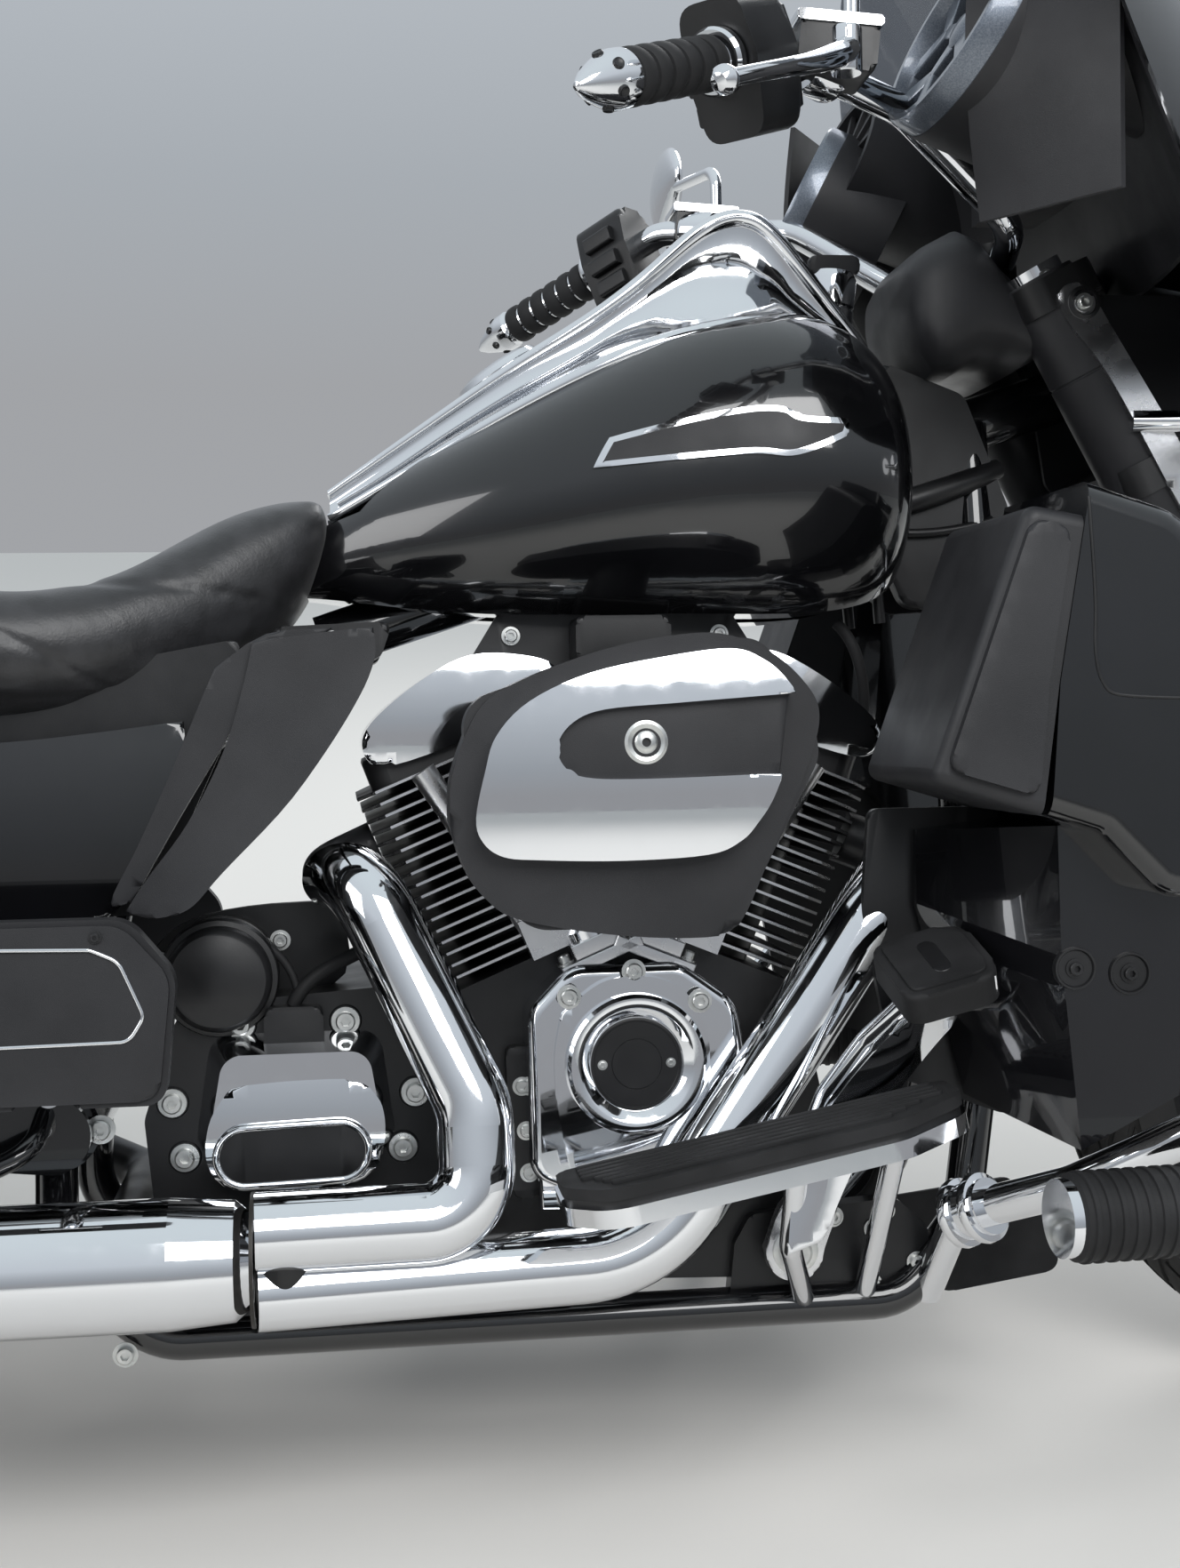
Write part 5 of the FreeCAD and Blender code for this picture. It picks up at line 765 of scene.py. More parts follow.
# Tank console
# A chromed pressing along the tank top: a lip on the tank, hollow mirror-bright sides and a thick rim arching
# over a black dash, with the ignition knob ahead of it and the filler cap behind.
def even(line, count):
    """A line resampled at equal steps."""
    lengths = [0.0]
    for a, b in zip(line, line[1:]):
        lengths.append(lengths[-1] + (b - a).length)
    spots = []
    k = 0
    for i in range(count + 1):
        want = lengths[-1] * i / count
        while k < len(line) - 2 and lengths[k + 1] < want:
            k += 1
        span = lengths[k + 1] - lengths[k]
        spots.append(line[k].lerp(line[k + 1], (want - lengths[k]) / span if span else 0))
    return spots


def sheet(rows):
    """Faces between equal rows of points."""
    wide = len(rows[0])
    verts = [point for row in rows for point in row]
    faces = [(i * wide + j, i * wide + j + 1, (i + 1) * wide + j + 1, (i + 1) * wide + j)
             for i in range(len(rows) - 1) for j in range(wide - 1)]
    return verts, faces


LIP = [(650, 24, 798), (700, 46, 824), (760, 68, 858), (820, 82, 890), (880, 90, 919), (940, 94, 941),
       (1000, 92, 952), (1030, 86, 951)]
LIP_END = [(1060, 70, 946), (1090, 58, 940), (1116, 46, 934)]
RIM = [(650, 14, 818), (700, 28, 851), (760, 40, 891), (820, 48, 930), (880, 53, 964), (930, 56, 1002),
       (960, 57, 1030), (985, 58, 1046), (1008, 58, 1050), (1030, 58, 1040), (1060, 56, 1004), (1090, 50, 968),
       (1116, 42, 940)]
low_line, rim_line = even(flow(LIP + LIP_END, 6), 72), even(flow(RIM, 6), 72)
side_rows = []
for low, high in zip(low_line, rim_line):
    row = []
    for i in range(9):
        t = i / 8
        point = low.lerp(high, t)
        hollow = min(0.42 * (high - low).length, 30) * 4 * t * (1 - t) * 0.55
        row.append(Vector((point.x, point.y - hollow, point.z - 0.25 * hollow)))
    side_rows.append(row)
console_parts = [both(sheet(side_rows))]
rim_sizes = [0.55, 0.6, 0.7, 0.8, 0.9, 1.0, 1.1, 1.15, 1.15, 1.1, 1.0, 0.9, 0.8]
lip_sizes = [0.5, 0.55, 0.62, 0.7, 0.8, 0.95, 1.1, 1.1]
for side in (1, -1):
    console_parts.append(run("console_rim", [(x, side * y, z) for x, y, z in RIM], 6.5, tapers=rim_sizes))
    console_parts.append(run("console_lip", [(x, side * (y + 2), z - 2) for x, y, z in LIP], 8.5,
                             tapers=lip_sizes))
dash_rows = []
for high in rim_line:
    shares = [1 - 2 * i / 8 for i in range(9)]
    dash_rows.append([Vector((high.x, high.y * share, high.z + 3 * (1 - share ** 2))) for share in shares])
rear_dash, front_dash = dash_rows[:22], dash_rows[21:]
console_parts.append(sheet(rear_dash))
console = new_piece("console_shell", join(console_parts), chrome, sharp=42)
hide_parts("console")
new_piece("console_dash", sheet(front_dash), moulding, sharp=42)
cap_up = Vector((-0.55, 0, 0.83)).normalized()
cap = lathe([(0.01, -6), (40, -6), (41, 2), (38, 7), (30, 10), (14, 11.5), (0.01, 12)], (800, 0, 922), cap_up,
            72)
knob = lathe([(0.01, -10), (23, -10), (23, 0), (21, 3), (21, 16), (19.5, 18), (21, 20), (21, 44), (18, 50),
              (0.01, 50)], (1096, 0, 966), (0.12, 0, 1), 72)
new_piece("filler_cap_and_lock", join([cap, knob]), chrome, sharp=32)
wing = plate(rounded([(1080, 1014, 4), (1124, 1014, 4), (1126, 1031, 7), (1078, 1031, 7)]), 5, -5, 3)
new_piece("lock_wing", wing, moulding)


# Tank badge
# A bare badge on each side: a chromed bar with a slanted tail and a drawn-out nose round a plain black field.
# It lies on the tank's own curve, held by studs.
def skin_of(*names):
    """The outer skin of frame nodes, in the upright motorcycle's millimetres."""
    upright = parked.inverted()
    verts, faces = [], []
    for name in names:
        piece = frame["nodes"][name]
        base = len(verts)
        verts += [upright @ (piece.matrix_world @ v.co) for v in piece.data.vertices]
        faces += [tuple(base + i for i in polygon.vertices) for polygon in piece.data.polygons]
    return BVHTree.FromPolygons(verts, faces)


def laid_on(skin, shape, side, reach=500):
    """A flat shape whose Y is its height, laid on a side of a skin."""
    verts, faces = shape
    laid = []
    for v in verts:
        hit = skin.ray_cast(Vector((v.x, side * reach, v.z)), Vector((0, -side, 0)))[0]
        laid.append(Vector((v.x, (hit.y if hit else 0) + side * v.y, v.z)))
    return laid, [tuple(reversed(face)) for face in faces] if side > 0 else faces


tank_skin = skin_of("fuel_tank")
badge_edge = edge_of((861, 822), (2, [(868, 835), (875, 847)]),
                     (5, [(940, 862), (990, 870), (1016, 869), (1030, 862), (1068, 860)]),
                     (2, [(1069, 852), (1066, 845)]), (5,
        [(1045, 836), (1020, 829), (990, 831), (940, 828), (861, 822)]))
for side, word in ((1, "left"), (-1, "right")):
    flat = plate(badge_edge, -1, 3.2, 1.2, 2, flat_face, 9)
    new_piece(f"badge_bar_{word}", laid_on(tank_skin, flat, side), chrome, sharp=40)
    field = plate(inset(badge_edge, 5.0), 0, 4.0, 0.5, 2, flat_face, 9)
    new_piece(f"badge_field_{word}", laid_on(tank_skin, field, side), moulding, sharp=40)

# Side covers
# Gloss black painted covers clipped to the frame below the saddle, each with a grained deflector ahead of it.
COVER_IN, DEFLECTOR_IN = 158, 190
cover_line = edge_of((302, 606), (5, [(400, 610), (466, 616), (534, 624)]),
                     (5, [(536, 594), (524, 562), (508, 530), (486, 486), (474, 474)]),
                     (4, [(437, 471), (380, 470), (318, 470)]), (4, [(304, 480), (300, 530), (302, 606)]))
panels = plate(cover_line, COVER_IN, COVER_IN + 12, 5, 4, crown(9, 534, 92), 12)
blade_line = edge_of((590, 684), (3, [(640, 690), (682, 694)]),
                     (5, [(682, 668), (664, 630), (618, 564), (564, 508), (542, 484), (528, 476)]),
                     (3, [(506, 474), (490, 480)]), (5, [(508, 506), (538, 546), (566, 600), (582, 650),
        (590, 684)]))


def blade_curl(x, z):
    """The deflector's blade curls outwards to its front edge."""
    lean = (x - 0.9 * (z - 476) - 490) / 90
    return 20 * max(0.0, min(1.2, lean)) ** 2


blade = plate(blade_line, DEFLECTOR_IN + 1, DEFLECTOR_IN + 9, 3, 3, blade_curl, 8)
root_line = edge_of((560, 664), (3, [(600, 690), (650, 694)]),
                    (5, [(600, 660), (566, 606), (530, 548), (494, 486)]),
                    (5, [(478, 486), (500, 530), (528, 590), (560, 664)]))
root_blade = plate(root_line, DEFLECTOR_IN - 16, DEFLECTOR_IN + 1, 3, 3, flat_face, 10)
side_paint = new_piece("side_covers", both(panels), black_paint, sharp=60)
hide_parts("side_panels")
new_piece("deflectors", both(blade, root_blade), moulding, sharp=50)


# Saddle
# A foam saddle under grained black leather, its side panels sewn on with two seams that dip into the foam,
# and a padded backrest on the top box. Both are strapped down to the frame.
leather = finish("seat_leather", (420, 0.0006, 0.35), (18, 0.34, 0.48),
                 (40, (0.010, 0.010, 0.011), (0.022, 0.022, 0.024)),
                 {"Sheen Weight": 0.12, "Sheen Roughness": 0.4})
# along the machine: (ahead, half width, low, high)
SADDLE = [(-126, 122, 694, 834), (-70, 146, 688, 846), (20, 160, 680, 850), (150, 168, 664, 848),
          (230, 176, 650, 838), (268, 182, 640, 812), (300, 188, 628, 768), (340, 188, 626, 748),
          (400, 180, 626, 738), (470, 158, 634, 750), (530, 128, 648, 778), (580, 102, 676, 806),
          (620, 82, 716, 818), (646, 64, 768, 820)]
DISH = 14


def saddle_section(ahead, half, low, high, count=56):
    """The saddle across the machine: flat below, round at the sides and dished on top."""
    line = []
    for angle in turns(count):
        c, s = math.cos(angle), math.sin(angle)
        power = 2 / 3.2
        y = half * math.copysign(abs(c) ** power, c)
        z = (high - low) / 2 * math.copysign(abs(s) ** power, s)
        if s > 0:
            z -= DISH * max(0, 1 - (y / half) ** 2) * (0.35 if ahead > 520 or ahead < 0 else 1)
        line.append(Vector((ahead, y, (high + low) / 2 + z)))
    return line


def tube_of(rows):
    """A closed skin through rings of equal length, with both ends filled."""
    count = len(rows[0])
    verts = [point for row in rows for point in row]
    faces = [(i * count + j, i * count + (j + 1) % count, (i + 1) * count + (j + 1) % count,
              (i + 1) * count + j) for i in range(len(rows) - 1) for j in range(count)]
    for base, order in ((0, -1), ((len(rows) - 1) * count, 1)):
        middle = len(verts)
        verts.append(sum(verts[base:base + count], Vector()) / count)
        ring = [(base + j, base + (j + 1) % count, middle)[::order] for j in range(count)]
        faces += ring
    return verts, faces


FOAM_GRID, STUFFING = 0.006, 0.004


def padded(name, verts, faces, seams):
    """Remesh a cover, blow its foam up a little, then pull in the seams of (least y, path, depth, width)."""
    mesh = bpy.data.meshes.new(name)
    mesh.from_pydata([tuple(parked @ v) for v in verts], [], faces)
    cushion = bpy.data.objects.new(name, mesh)
    bpy.context.scene.collection.objects.link(cushion)
    remesh = cushion.modifiers.new("foam", "REMESH")
    remesh.mode = "VOXEL"
    remesh.voxel_size = FOAM_GRID
    soft = evaluated(cushion)
    cushion.modifiers.clear()
    cushion.data = soft
    rest = [v.co.copy() for v in soft.vertices]
    cloth = cushion.modifiers.new("stuffing", "CLOTH")
    cloth.settings.use_pressure = True
    cloth.settings.uniform_pressure_force = 4
    cloth.settings.effector_weights.gravity = 0
    cloth.settings.quality = 3
    for step in range(1, 13):
        bpy.context.scene.frame_set(step)
    filled = evaluated(cushion)
    bpy.context.scene.frame_set(1)
    cushion.modifiers.clear()
    for v, start in zip(filled.vertices, rest):
        push = v.co - start
        v.co = start + push * min(1.0, STUFFING / max(push.length, 1e-9))
    cushion.data = filled
    relax = cushion.modifiers.new("relax", "SMOOTH")
    relax.factor, relax.iterations = 0.5, 60
    eased = evaluated(cushion)
    cushion.modifiers.clear()
    cushion.data = eased
    upright = parked.inverted()
    for v in cushion.data.vertices:
        spot = upright @ v.co
        dip = 0.0
        for y_low, path, depth, width in seams:
            if abs(spot.y) < y_low:
                continue
            near = min((Vector((spot.x, spot.z)) - p).length for p in path)
            if near < 4 * width:
                groove = depth * math.exp(-(near / width) ** 2)
                ridge = 0.16 * depth * math.exp(-((near - 2.2 * width) / width) ** 2)
                dip = max(dip, groove - ridge)
        if dip:
            v.co -= v.normal * dip * 0.001
    smooth = cushion.modifiers.new("leather", "SUBSURF")
    smooth.levels = smooth.render_levels = 1
    done = evaluated(cushion)
    cushion.modifiers.clear()
    cushion.data = done
    done.materials.clear()
    done.materials.append(leather)
    done.shade_smooth()
    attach(cushion, "chassis")
    return cushion


def oval(ahead, half, low, high, squareness=0.5):
    """A squarish ring across the machine."""
    ring = []
    for angle in turns(64):
        c, s = math.cos(angle), math.sin(angle)
        y = half * math.copysign(abs(c) ** 0.5, c)
        z = (low + high) / 2 + (high - low) / 2 * math.copysign(abs(s) ** squareness, s)
        ring.append(Vector((ahead, y, z)))
    return ring


def dense(points, step=3):
    """A line with a point every few millimetres."""
    line = flow(points, 6)
    length = sum((b - a).length for a, b in zip(line, line[1:]))
    return even(line, max(2, int(length / step)))


side_seam = dense([(300, 716), (360, 706), (401, 693), (440, 670), (486, 643), (528, 626)])
top_seam = dense([(436, 738), (504, 733), (551, 729), (596, 722)])
hem_seam = dense([(-110, 716), (0, 708), (150, 692), (300, 652), (400, 644), (480, 648), (556, 672)])
section_rows = [saddle_section(*row) for row in SADDLE]
smooth_rows = []
before, after = [section_rows[0]] + section_rows, section_rows[2:] + [section_rows[-1]]
for a, b, c, d in zip(before, section_rows, section_rows[1:], after):
    for k in range(4):
        t = k / 4
        smooth_rows.append([0.5 * (2 * q + (r - p) * t + (2 * p - 5 * q + 4 * r - s) * t * t
                                   + (3 * q - p - 3 * r + s) * t ** 3) for p, q, r, s in zip(a, b, c, d)])
smooth_rows.append(section_rows[-1])
saddle = padded("saddle", *tube_of(smooth_rows), [(60, side_seam, 2.6, 3), (40, top_seam, 2.2, 3),
        (60, hem_seam, 2.0, 3)])
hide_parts("seat")
PAD = ((-184, 203, 874, 1035), (-176, 204, 873, 1036), (-156, 200, 876, 1032), (-140, 190, 886, 1022),
       (-134, 170, 902, 1006))
pad_rows = [oval(*row) for row in PAD]
padded("backrest_pad", *tube_of(pad_rows), [])

# Under the tank
# Black engine mount, coil pack and inner panels fill the space below the tank and the saddle, bolted to
# the frame.
inner_panel = plate(rounded([(300, 470, 10), (500, 470, 10), (560, 600, 20), (580, 690, 10), (300, 640, 10)]),
                    126, 131, 1.5)
mount_plate = plate(rounded([(760, 664, 6), (800, 640, 6), (980, 640, 6), (1020, 664, 6), (990, 712, 10),
                             (790, 712, 10)]), -52, -60, 2)
coil = plate(rounded([(850, 668, 8), (930, 668, 8), (930, 706, 8), (850, 706, 8)]), -60, -110, 4)
rear_box = plate(rounded([(612, 636, 8), (690, 676, 8), (700, 704, 8), (600, 700, 8)]), -46, -96, 5)
new_piece("under_tank_parts", join([both(inner_panel), mount_plate, coil, both(rear_box)]), satin_black)
screws("mount_screws", side_screws(-62, 5.5, (800, 692), (980, 692)) + side_screws(-98, 4.5, (650, 690)))

# Grips
# Each has a chromed pointed end with dark cups round it, six rubber sleeves on a chromed core, and the black
# switch housing clamped inboard of it.
GRIP_TIP, GRIP_ROOT = Vector((847, 407, 1046)), Vector((990, 267, 1117))
grip_axis = (GRIP_ROOT - GRIP_TIP).normalized()
ends, sleeves, housings = [], [], []
for side in (1, -1):
    tip, along = on_side(side, *GRIP_TIP), on_side(side, *grip_axis)
    ends.append(lathe([(0.01, -46), (3, -45), (9, -36), (15, -22), (19, -10), (20, -6), (20, 4), (17.5, 6),
                       (16.4, 8), (16.4, 120), (22, 120), (24, 123), (24, 129), (0.01, 129)], tip, along, 64))
    for i in range(6):
        start = 9 + 18.4 * i
        sleeves.append(lathe([(15.5, start), (18.2, start + 0.6), (19.6, start + 4), (19.8, start + 8),
                              (19.6, start + 12), (18.2, start + 15.4), (15.5, start + 16)], tip, along, 48))
    out = along.orthogonal().normalized()
    for angle in turns(6):
        turn = Matrix.Rotation(angle, 3, along) @ out
        normal = (turn * 0.93 - along * 0.36).normalized()
        spot = tip + along * -15 + turn * 17.2
        housings.append(lathe([(0.01, 1.2), (2.4, 1.2), (3.6, 2.0), (4.2, 0.4), (4.2, -2), (0.01, -2)], spot,
                              normal, 24))
    core = tip + along * 131
    level = Vector((-along.y, along.x, 0)).normalized()
    up = along.cross(level)
    up = up if up.z > 0 else -up
    body = plate(rounded([(-26, -56, 16), (22, -56, 16), (30, -10, 20), (27, 42, 16), (-24, 42, 16),
                          (-32, 0, 16)]), 0, 58, 8, 4)
    housings.append(([core + level * v.x + along * v.y + up * v.z for v in body[0]], body[1]))
    for drop, reach in ((14, 30), (-12, 32), (-34, 28)):
        key = plate(rounded([(-7, drop - 8, 3), (7, drop - 8, 3), (7, drop + 8, 3), (-7, drop + 8, 3)]), 12, 46,
                    2)
        housings.append(([core + level * (v.x - side * reach) + along * v.y + up * v.z for v in key[0]],
                         key[1]))
bar_ends = new_piece("grip_ends", join(ends), chrome, "fork", sharp=30)
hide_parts("grips")
new_piece("grip_sleeves", join(sleeves), rubber, "fork", sharp=40)
new_piece("switch_housings", join(housings), satin_black, "fork")

# Hand levers
# Chromed blades with ball ends pivot in clamps on the bar; a black reservoir with a chromed lid sits on each.
PERCH = Vector((1027, 243, 1112))
LEVER = [(1040, 284, 1114), (1026, 314, 1100), (998, 356, 1078), (964, 398, 1060), (914, 444, 1036)]
blades, cans = [], []
for side in (1, -1):
    axis = Vector((0.836, -side * 0.536, -0.118))
    clamp = lathe([(15, -17), (20, -16), (21, -12), (21, 12), (20, 16), (15, 17)], on_side(side, *PERCH), axis,
                  48)
    blade_line = run("lever_blade", [on_side(side, *point) for point in LEVER], 7,
                     tapers=[1.5, 1.5, 1.1, 0.95, 0.9])
    ball = lathe([(0.01, -10), (6, -8), (9.6, -3), (10, 0), (9.6, 3), (6, 8), (0.01, 10)],
                 on_side(side, 913, 445, 1035), (0.6, side * -0.6, 0.4), 32)
    pivot = lathe([(0.01, -17), (11, -17), (12, -15), (12, 15), (11, 17), (0.01, 17)],
                  on_side(side, 1038, 286, 1112), (0, 0, 1), 40)
    blades += [clamp, blade_line, ball, pivot]
    can = plate(rounded([(1000, 1102, 6), (1060, 1096, 6), (1064, 1132, 6), (1004, 1136, 6)]), side * 236,
                side * 290, 6, 3)
    lid = plate(rounded([(1000, 1133, 2), (1066, 1129, 2), (1066, 1137, 2), (1000, 1141, 2)]), side * 234,
                side * 292, 2)
    cans.append(can)
    blades.append(lid)
levers = new_piece("lever_sets", join(blades), chrome, "fork")
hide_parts("hand_levers")
new_piece("reservoirs", join(cans), satin_black, "fork")

# Speaker grilles and dials
# Wide grey-blue metallic spokes branch to a ring over each dark cone; two dials sit between them.
grille_paint = finish("grey_blue_metallic", (1600, 0.0002, 0.3), (12, 0.28, 0.40),
                      (900, (0.09, 0.105, 0.13), (0.16, 0.18, 0.21)), {"Metallic": 0.7, "Coat Weight": 0.6})
POD = Vector((1130, 256, 1146))
POD_SIZE = 84
DIAL_BACK = (-0.985, 0, 0.17)


def faced(shape, centre, facing):
    """A flat shape, drawn in X and Z with its height along Y, turned to face a way."""
    facing = Vector(facing).normalized()
    level = Vector((0, 0, 1)).cross(facing).normalized()
    up = facing.cross(level)
    return [Vector(centre) + level * v.x + up * v.z + facing * v.y for v in shape[0]], shape[1]


grilles, cones, dials, faces_of_dials = [], [], [], []
for side in (1, -1):
    centre = on_side(side, *POD)
    facing = Vector((-0.86, side * 0.12, 0.45)).normalized()
    grilles.append(lathe([(POD_SIZE - 11, -20), (POD_SIZE - 9, -4), (POD_SIZE - 8, 2), (POD_SIZE - 2, 2),
                          (POD_SIZE, -2), (POD_SIZE, -20)], centre, facing, 96))
    for angle in turns(5, 0.3):
        hub, fork_at = Vector((math.cos(angle), math.sin(angle))), 40
        lines = [(hub * 10, hub * fork_at, 8, 6)]
        for spread in (-0.42, 0.42):
            lines.append((hub * fork_at, Vector((math.cos(angle + spread),
                    math.sin(angle + spread))) * (POD_SIZE - 6), 6, 9))
        for first, last, wide, wider in lines:
            sideways = Vector((-(last - first).y, (last - first).x)).normalized()
            strip = [first + sideways * wide, first - sideways * wide, last - sideways * wider,
                     last + sideways * wider]
            grilles.append(faced(plate(strip, -16, -8, 2), centre, facing))
    grilles.append(lathe([(0.01, -16), (16, -16), (16, -8), (11, -5), (0.01, -4)], centre, facing, 48))
    cones.append(lathe([(0.01, -34), (30, -30), (POD_SIZE - 10, -20), (POD_SIZE + 1, -18), (POD_SIZE + 1, -22),
                        (POD_SIZE - 10, -100), (0.01, -102)], centre, facing, 72))
    dial_at = Vector((1237, side * 62, 1178.4))
    dials.append(lathe([(39, -4), (40, 2), (43, 4), (46, 3), (47, -2), (46, -8), (39, -8)], dial_at, DIAL_BACK,
                       72))
    faces_of_dials.append(lathe([(0.01, -3), (39, -3), (39, -5), (0.01, -5)], dial_at, DIAL_BACK, 64))
new_piece("speaker_grilles", join(grilles), grille_paint, "fork", sharp=30)
new_piece("speaker_cones", join(cones + faces_of_dials), moulding, "fork", sharp=40)
new_piece("dial_rings", join(dials), chrome, "fork", sharp=30)
pale_ink = finish("pale_dial_ink", (500, 0.0001, 0.1), None,
                  (30, (0.60, 0.60, 0.58), (0.72, 0.72, 0.70)), {"Roughness": 0.5})
ticks = []
for side in (1, -1):
    dial_at = Vector((1237, side * 62, 1178.4))
    for i in range(13):
        angle = math.radians(225 - 22.5 * i)
        spoke = Vector((math.cos(angle), math.sin(angle)))
        sideways = Vector((-spoke.y, spoke.x)) * 0.7
        mark = [spoke * 35 + sideways, spoke * 35 - sideways, spoke * 29 - sideways, spoke * 29 + sideways]
        ticks.append(faced(plate(mark, -3.2, -2.4, 0), dial_at, DIAL_BACK))
    needle = [Vector((-1.6, -6)), Vector((1.6, -6)), Vector((0.5, 28)), Vector((-0.5, 28))]
    ticks.append(faced(plate(needle, -2.4, -1.4, 0), dial_at, DIAL_BACK))
new_piece("dial_marks", join(ticks), pale_ink, "fork")

# Fork cover strips
# A satin alloy strip with a recessed screw in a black cup runs down each side of the fork; screws hold it on.
strip_line = edge_of((1256, 968), (5, [(1268, 978), (1286, 972), (1300, 946), (1376, 822)]),
                     (3, [(1378, 800), (1366, 784)]), (5, [(1300, 900), (1264, 946), (1256, 968)]))
strip = plate(strip_line, 134, 140, 2.5, 3, crown(2, 880, 100), 14)
new_piece("fork_strips", both(strip), alloy, "fork", sharp=40)
cups = [lathe([(0.01, 134), (13, 134), (14, 142), (11, 143), (10, 140.5), (0.01, 140.5)], (1279, 0, 961),
              (0, side, 0), 48) for side in (1, -1)]
new_piece("strip_cups", join(cups), satin_black, "fork")
strip_spots = []
for side in (1, -1):
    strip_spots += side_screws(side * 141, 5.5, (1279, 961)) + side_screws(side * 132, 4.5, (1250, 984))
screws("strip_screws", strip_spots, zinc, "fork")

# Rider footboards
# A chromed tray with a black liner and a ribbed rubber mat pressed into it.
BOARD_REAR, BOARD_FRONT = Vector((812, 0, 250)), Vector((1118, 0, 309))
BOARD_INNER, BOARD_WIDE, BOARD_THICK = 230, 118, 14
board_slope = math.atan2(BOARD_FRONT.z - BOARD_REAR.z, BOARD_FRONT.x - BOARD_REAR.x)
board_long = (BOARD_FRONT - BOARD_REAR).length
for side, word in ((1, "left"), (-1, "right")):
    dress(chrome, f"rider_board_{word}")
    to_board = Matrix.Translation((BOARD_REAR.x, side * BOARD_INNER,
                                   BOARD_REAR.z)) @ Matrix.Rotation(-board_slope, 4, "Y")
    edge = rounded([(0, 28, 10), (board_long, 28, 10), (board_long, BOARD_WIDE - 34, 30),
                    (board_long - 60, BOARD_WIDE, 40), (30, BOARD_WIDE, 40), (0, BOARD_WIDE - 40, 30)])

    def on_board(shape):
        return [to_board @ Vector((v.x, side * v.z, v.y)) for v in shape[0]], shape[1]
    liner = on_board(plate(inset(edge, 4), BOARD_THICK - 1, BOARD_THICK + 6, 1))
    mat = [on_board(plate(inset(edge, 1.5), BOARD_THICK + 6, BOARD_THICK + 15, 3))]
    for i in range(7):
        across = 40 + 10 * i
        reach = (20, board_long - 18) if i < 4 else (24 + 5 * (i - 3), board_long - 24 - 14 * (i - 3))
        mat.append(on_board(plate(slot_line(reach[0], across, reach[1], across, 3.2, 6), BOARD_THICK + 14,
                                  BOARD_THICK + 17.5, 1)))
    new_piece(f"board_liner_{word}", liner, satin_black, f"rider_board_{word}")
    new_piece(f"board_mat_{word}", join(mat), rubber, f"rider_board_{word}")

# Passenger boards
# Folded up on their pins: a moulded tray with a bright inlaid line and a rubber mat on the far side.
fold_edge = rounded([(280, 350, 20), (520, 350, 16), (530, 440, 30), (496, 478, 30), (304, 478, 40)])
fold_inlay = rounded([(304, 392, 12), (500, 394, 14), (511, 412, 10), (494, 452, 18), (474, 461, 12),
                      (316, 465, 30)])
for side, word in ((1, "left"), (-1, "right")):
    cover_plate = plate(fold_edge, 279, 284, 4, 3, crown(3, 414, 70), 14)
    line = run("inlay", [(p.x, 286.6, p.y) for p in fold_inlay], 1.5, closed=True)
    for shape, material, part_name in ((cover_plate, moulding, "cover"), (line, chrome, "inlay")):
        shape = shape if side > 0 else other_side(shape)
        new_piece(f"passenger_{part_name}_{word}", shape, material, f"passenger_board_{word}", sharp=45)
    screws(f"passenger_screw_{word}", side_screws(side * 287, 3.2, (478, 470)), satin_black,
           f"passenger_board_{word}")

# Brake pedal and controls
# A broad curved chromed arm carries a thick rubber pad; its pivot bolt and bracket sit below the board.
arm_line = edge_of((994, 196), (5, [(1000, 244), (1014, 288), (1040, 330), (1078, 384)]),
                   (3, [(1098, 396), (1124, 386)]), (5, [(1096, 344), (1068, 302), (1040, 248), (1018, 196)]))


def arm_bend(x, z):
    """The pedal's arm bends outwards to its pad and is crowned across."""
    across = min(1, max(0, (x - z * 0.42 - 900) / 60))
    return -42 * max(0, (z - 196) / 190) ** 4 - 4 * math.sin(math.pi * across)


arm = plate(arm_line, -216, -226, 4, 4, arm_bend, 8)
new_piece("pedal_arm", arm, chrome, sharp=45)
pad_turn = Matrix.Rotation(math.radians(-14), 4, "Y") @ Matrix.Rotation(math.radians(22), 4, "X")
pad_turn = Matrix.Translation((1098, -288, 424)) @ pad_turn


def on_pad(shape):
    """A flat shape laid on the pedal's own plane."""
    return [pad_turn @ Vector((v.x, v.z, v.y)) for v in shape[0]], shape[1]


pad_edge = rounded([(-38, -43, 16), (38, -43, 22), (38, 43, 22), (-38, 43, 16)])
pad_parts = [on_pad(plate(pad_edge, -12, 12, 5, 4)), on_pad(plate(inset(pad_edge, 7), 10, 14.5, 2))]
new_piece("pedal_pad", join(pad_parts), rubber)
oval_mark = on_pad(plate(slot_line(0, -16, 0, 16, 7), 13.5, 15, 1))
new_piece("pedal_oval", oval_mark, satin_black)
bracket = plate(rounded([(968, 121, 14), (1006, 113, 10), (1107, 132, 12), (1142, 150, 14), (1142, 184, 16),
                         (1114, 210, 14), (988, 202, 12), (974, 178, 10)]), -100, -119, 3)
new_piece("control_bracket", bracket, satin_black)
link = plate(flow([(994, 180), (998, 164), (1010, 154), (1026, 153), (1040, 162), (1044, 178), (1056, 222),
                   (1014, 222), (994, 180)], 4)[:-1], -136, -148, 3)
new_piece("pivot_link", link, alloy)
pivot_bolt = lathe([(0.01, 148), (19, 148), (19, 151), (17, 152), (13, 152), (12.5, 158), (10, 160),
                    (0.01, 160)], (1019, 0, 178), (0, -1, 0), 60)
new_piece("pivot_bolt", pivot_bolt, zinc)
bracket_places = [(1001, 128), (1092, 138), (1094, 185), (1131, 155), (1104, 200), (1059, 197)]
screws("bracket_screws", side_screws(-120, 6, *bracket_places))
screws("frame_screws", side_screws(-134, 7, (474, 119)))

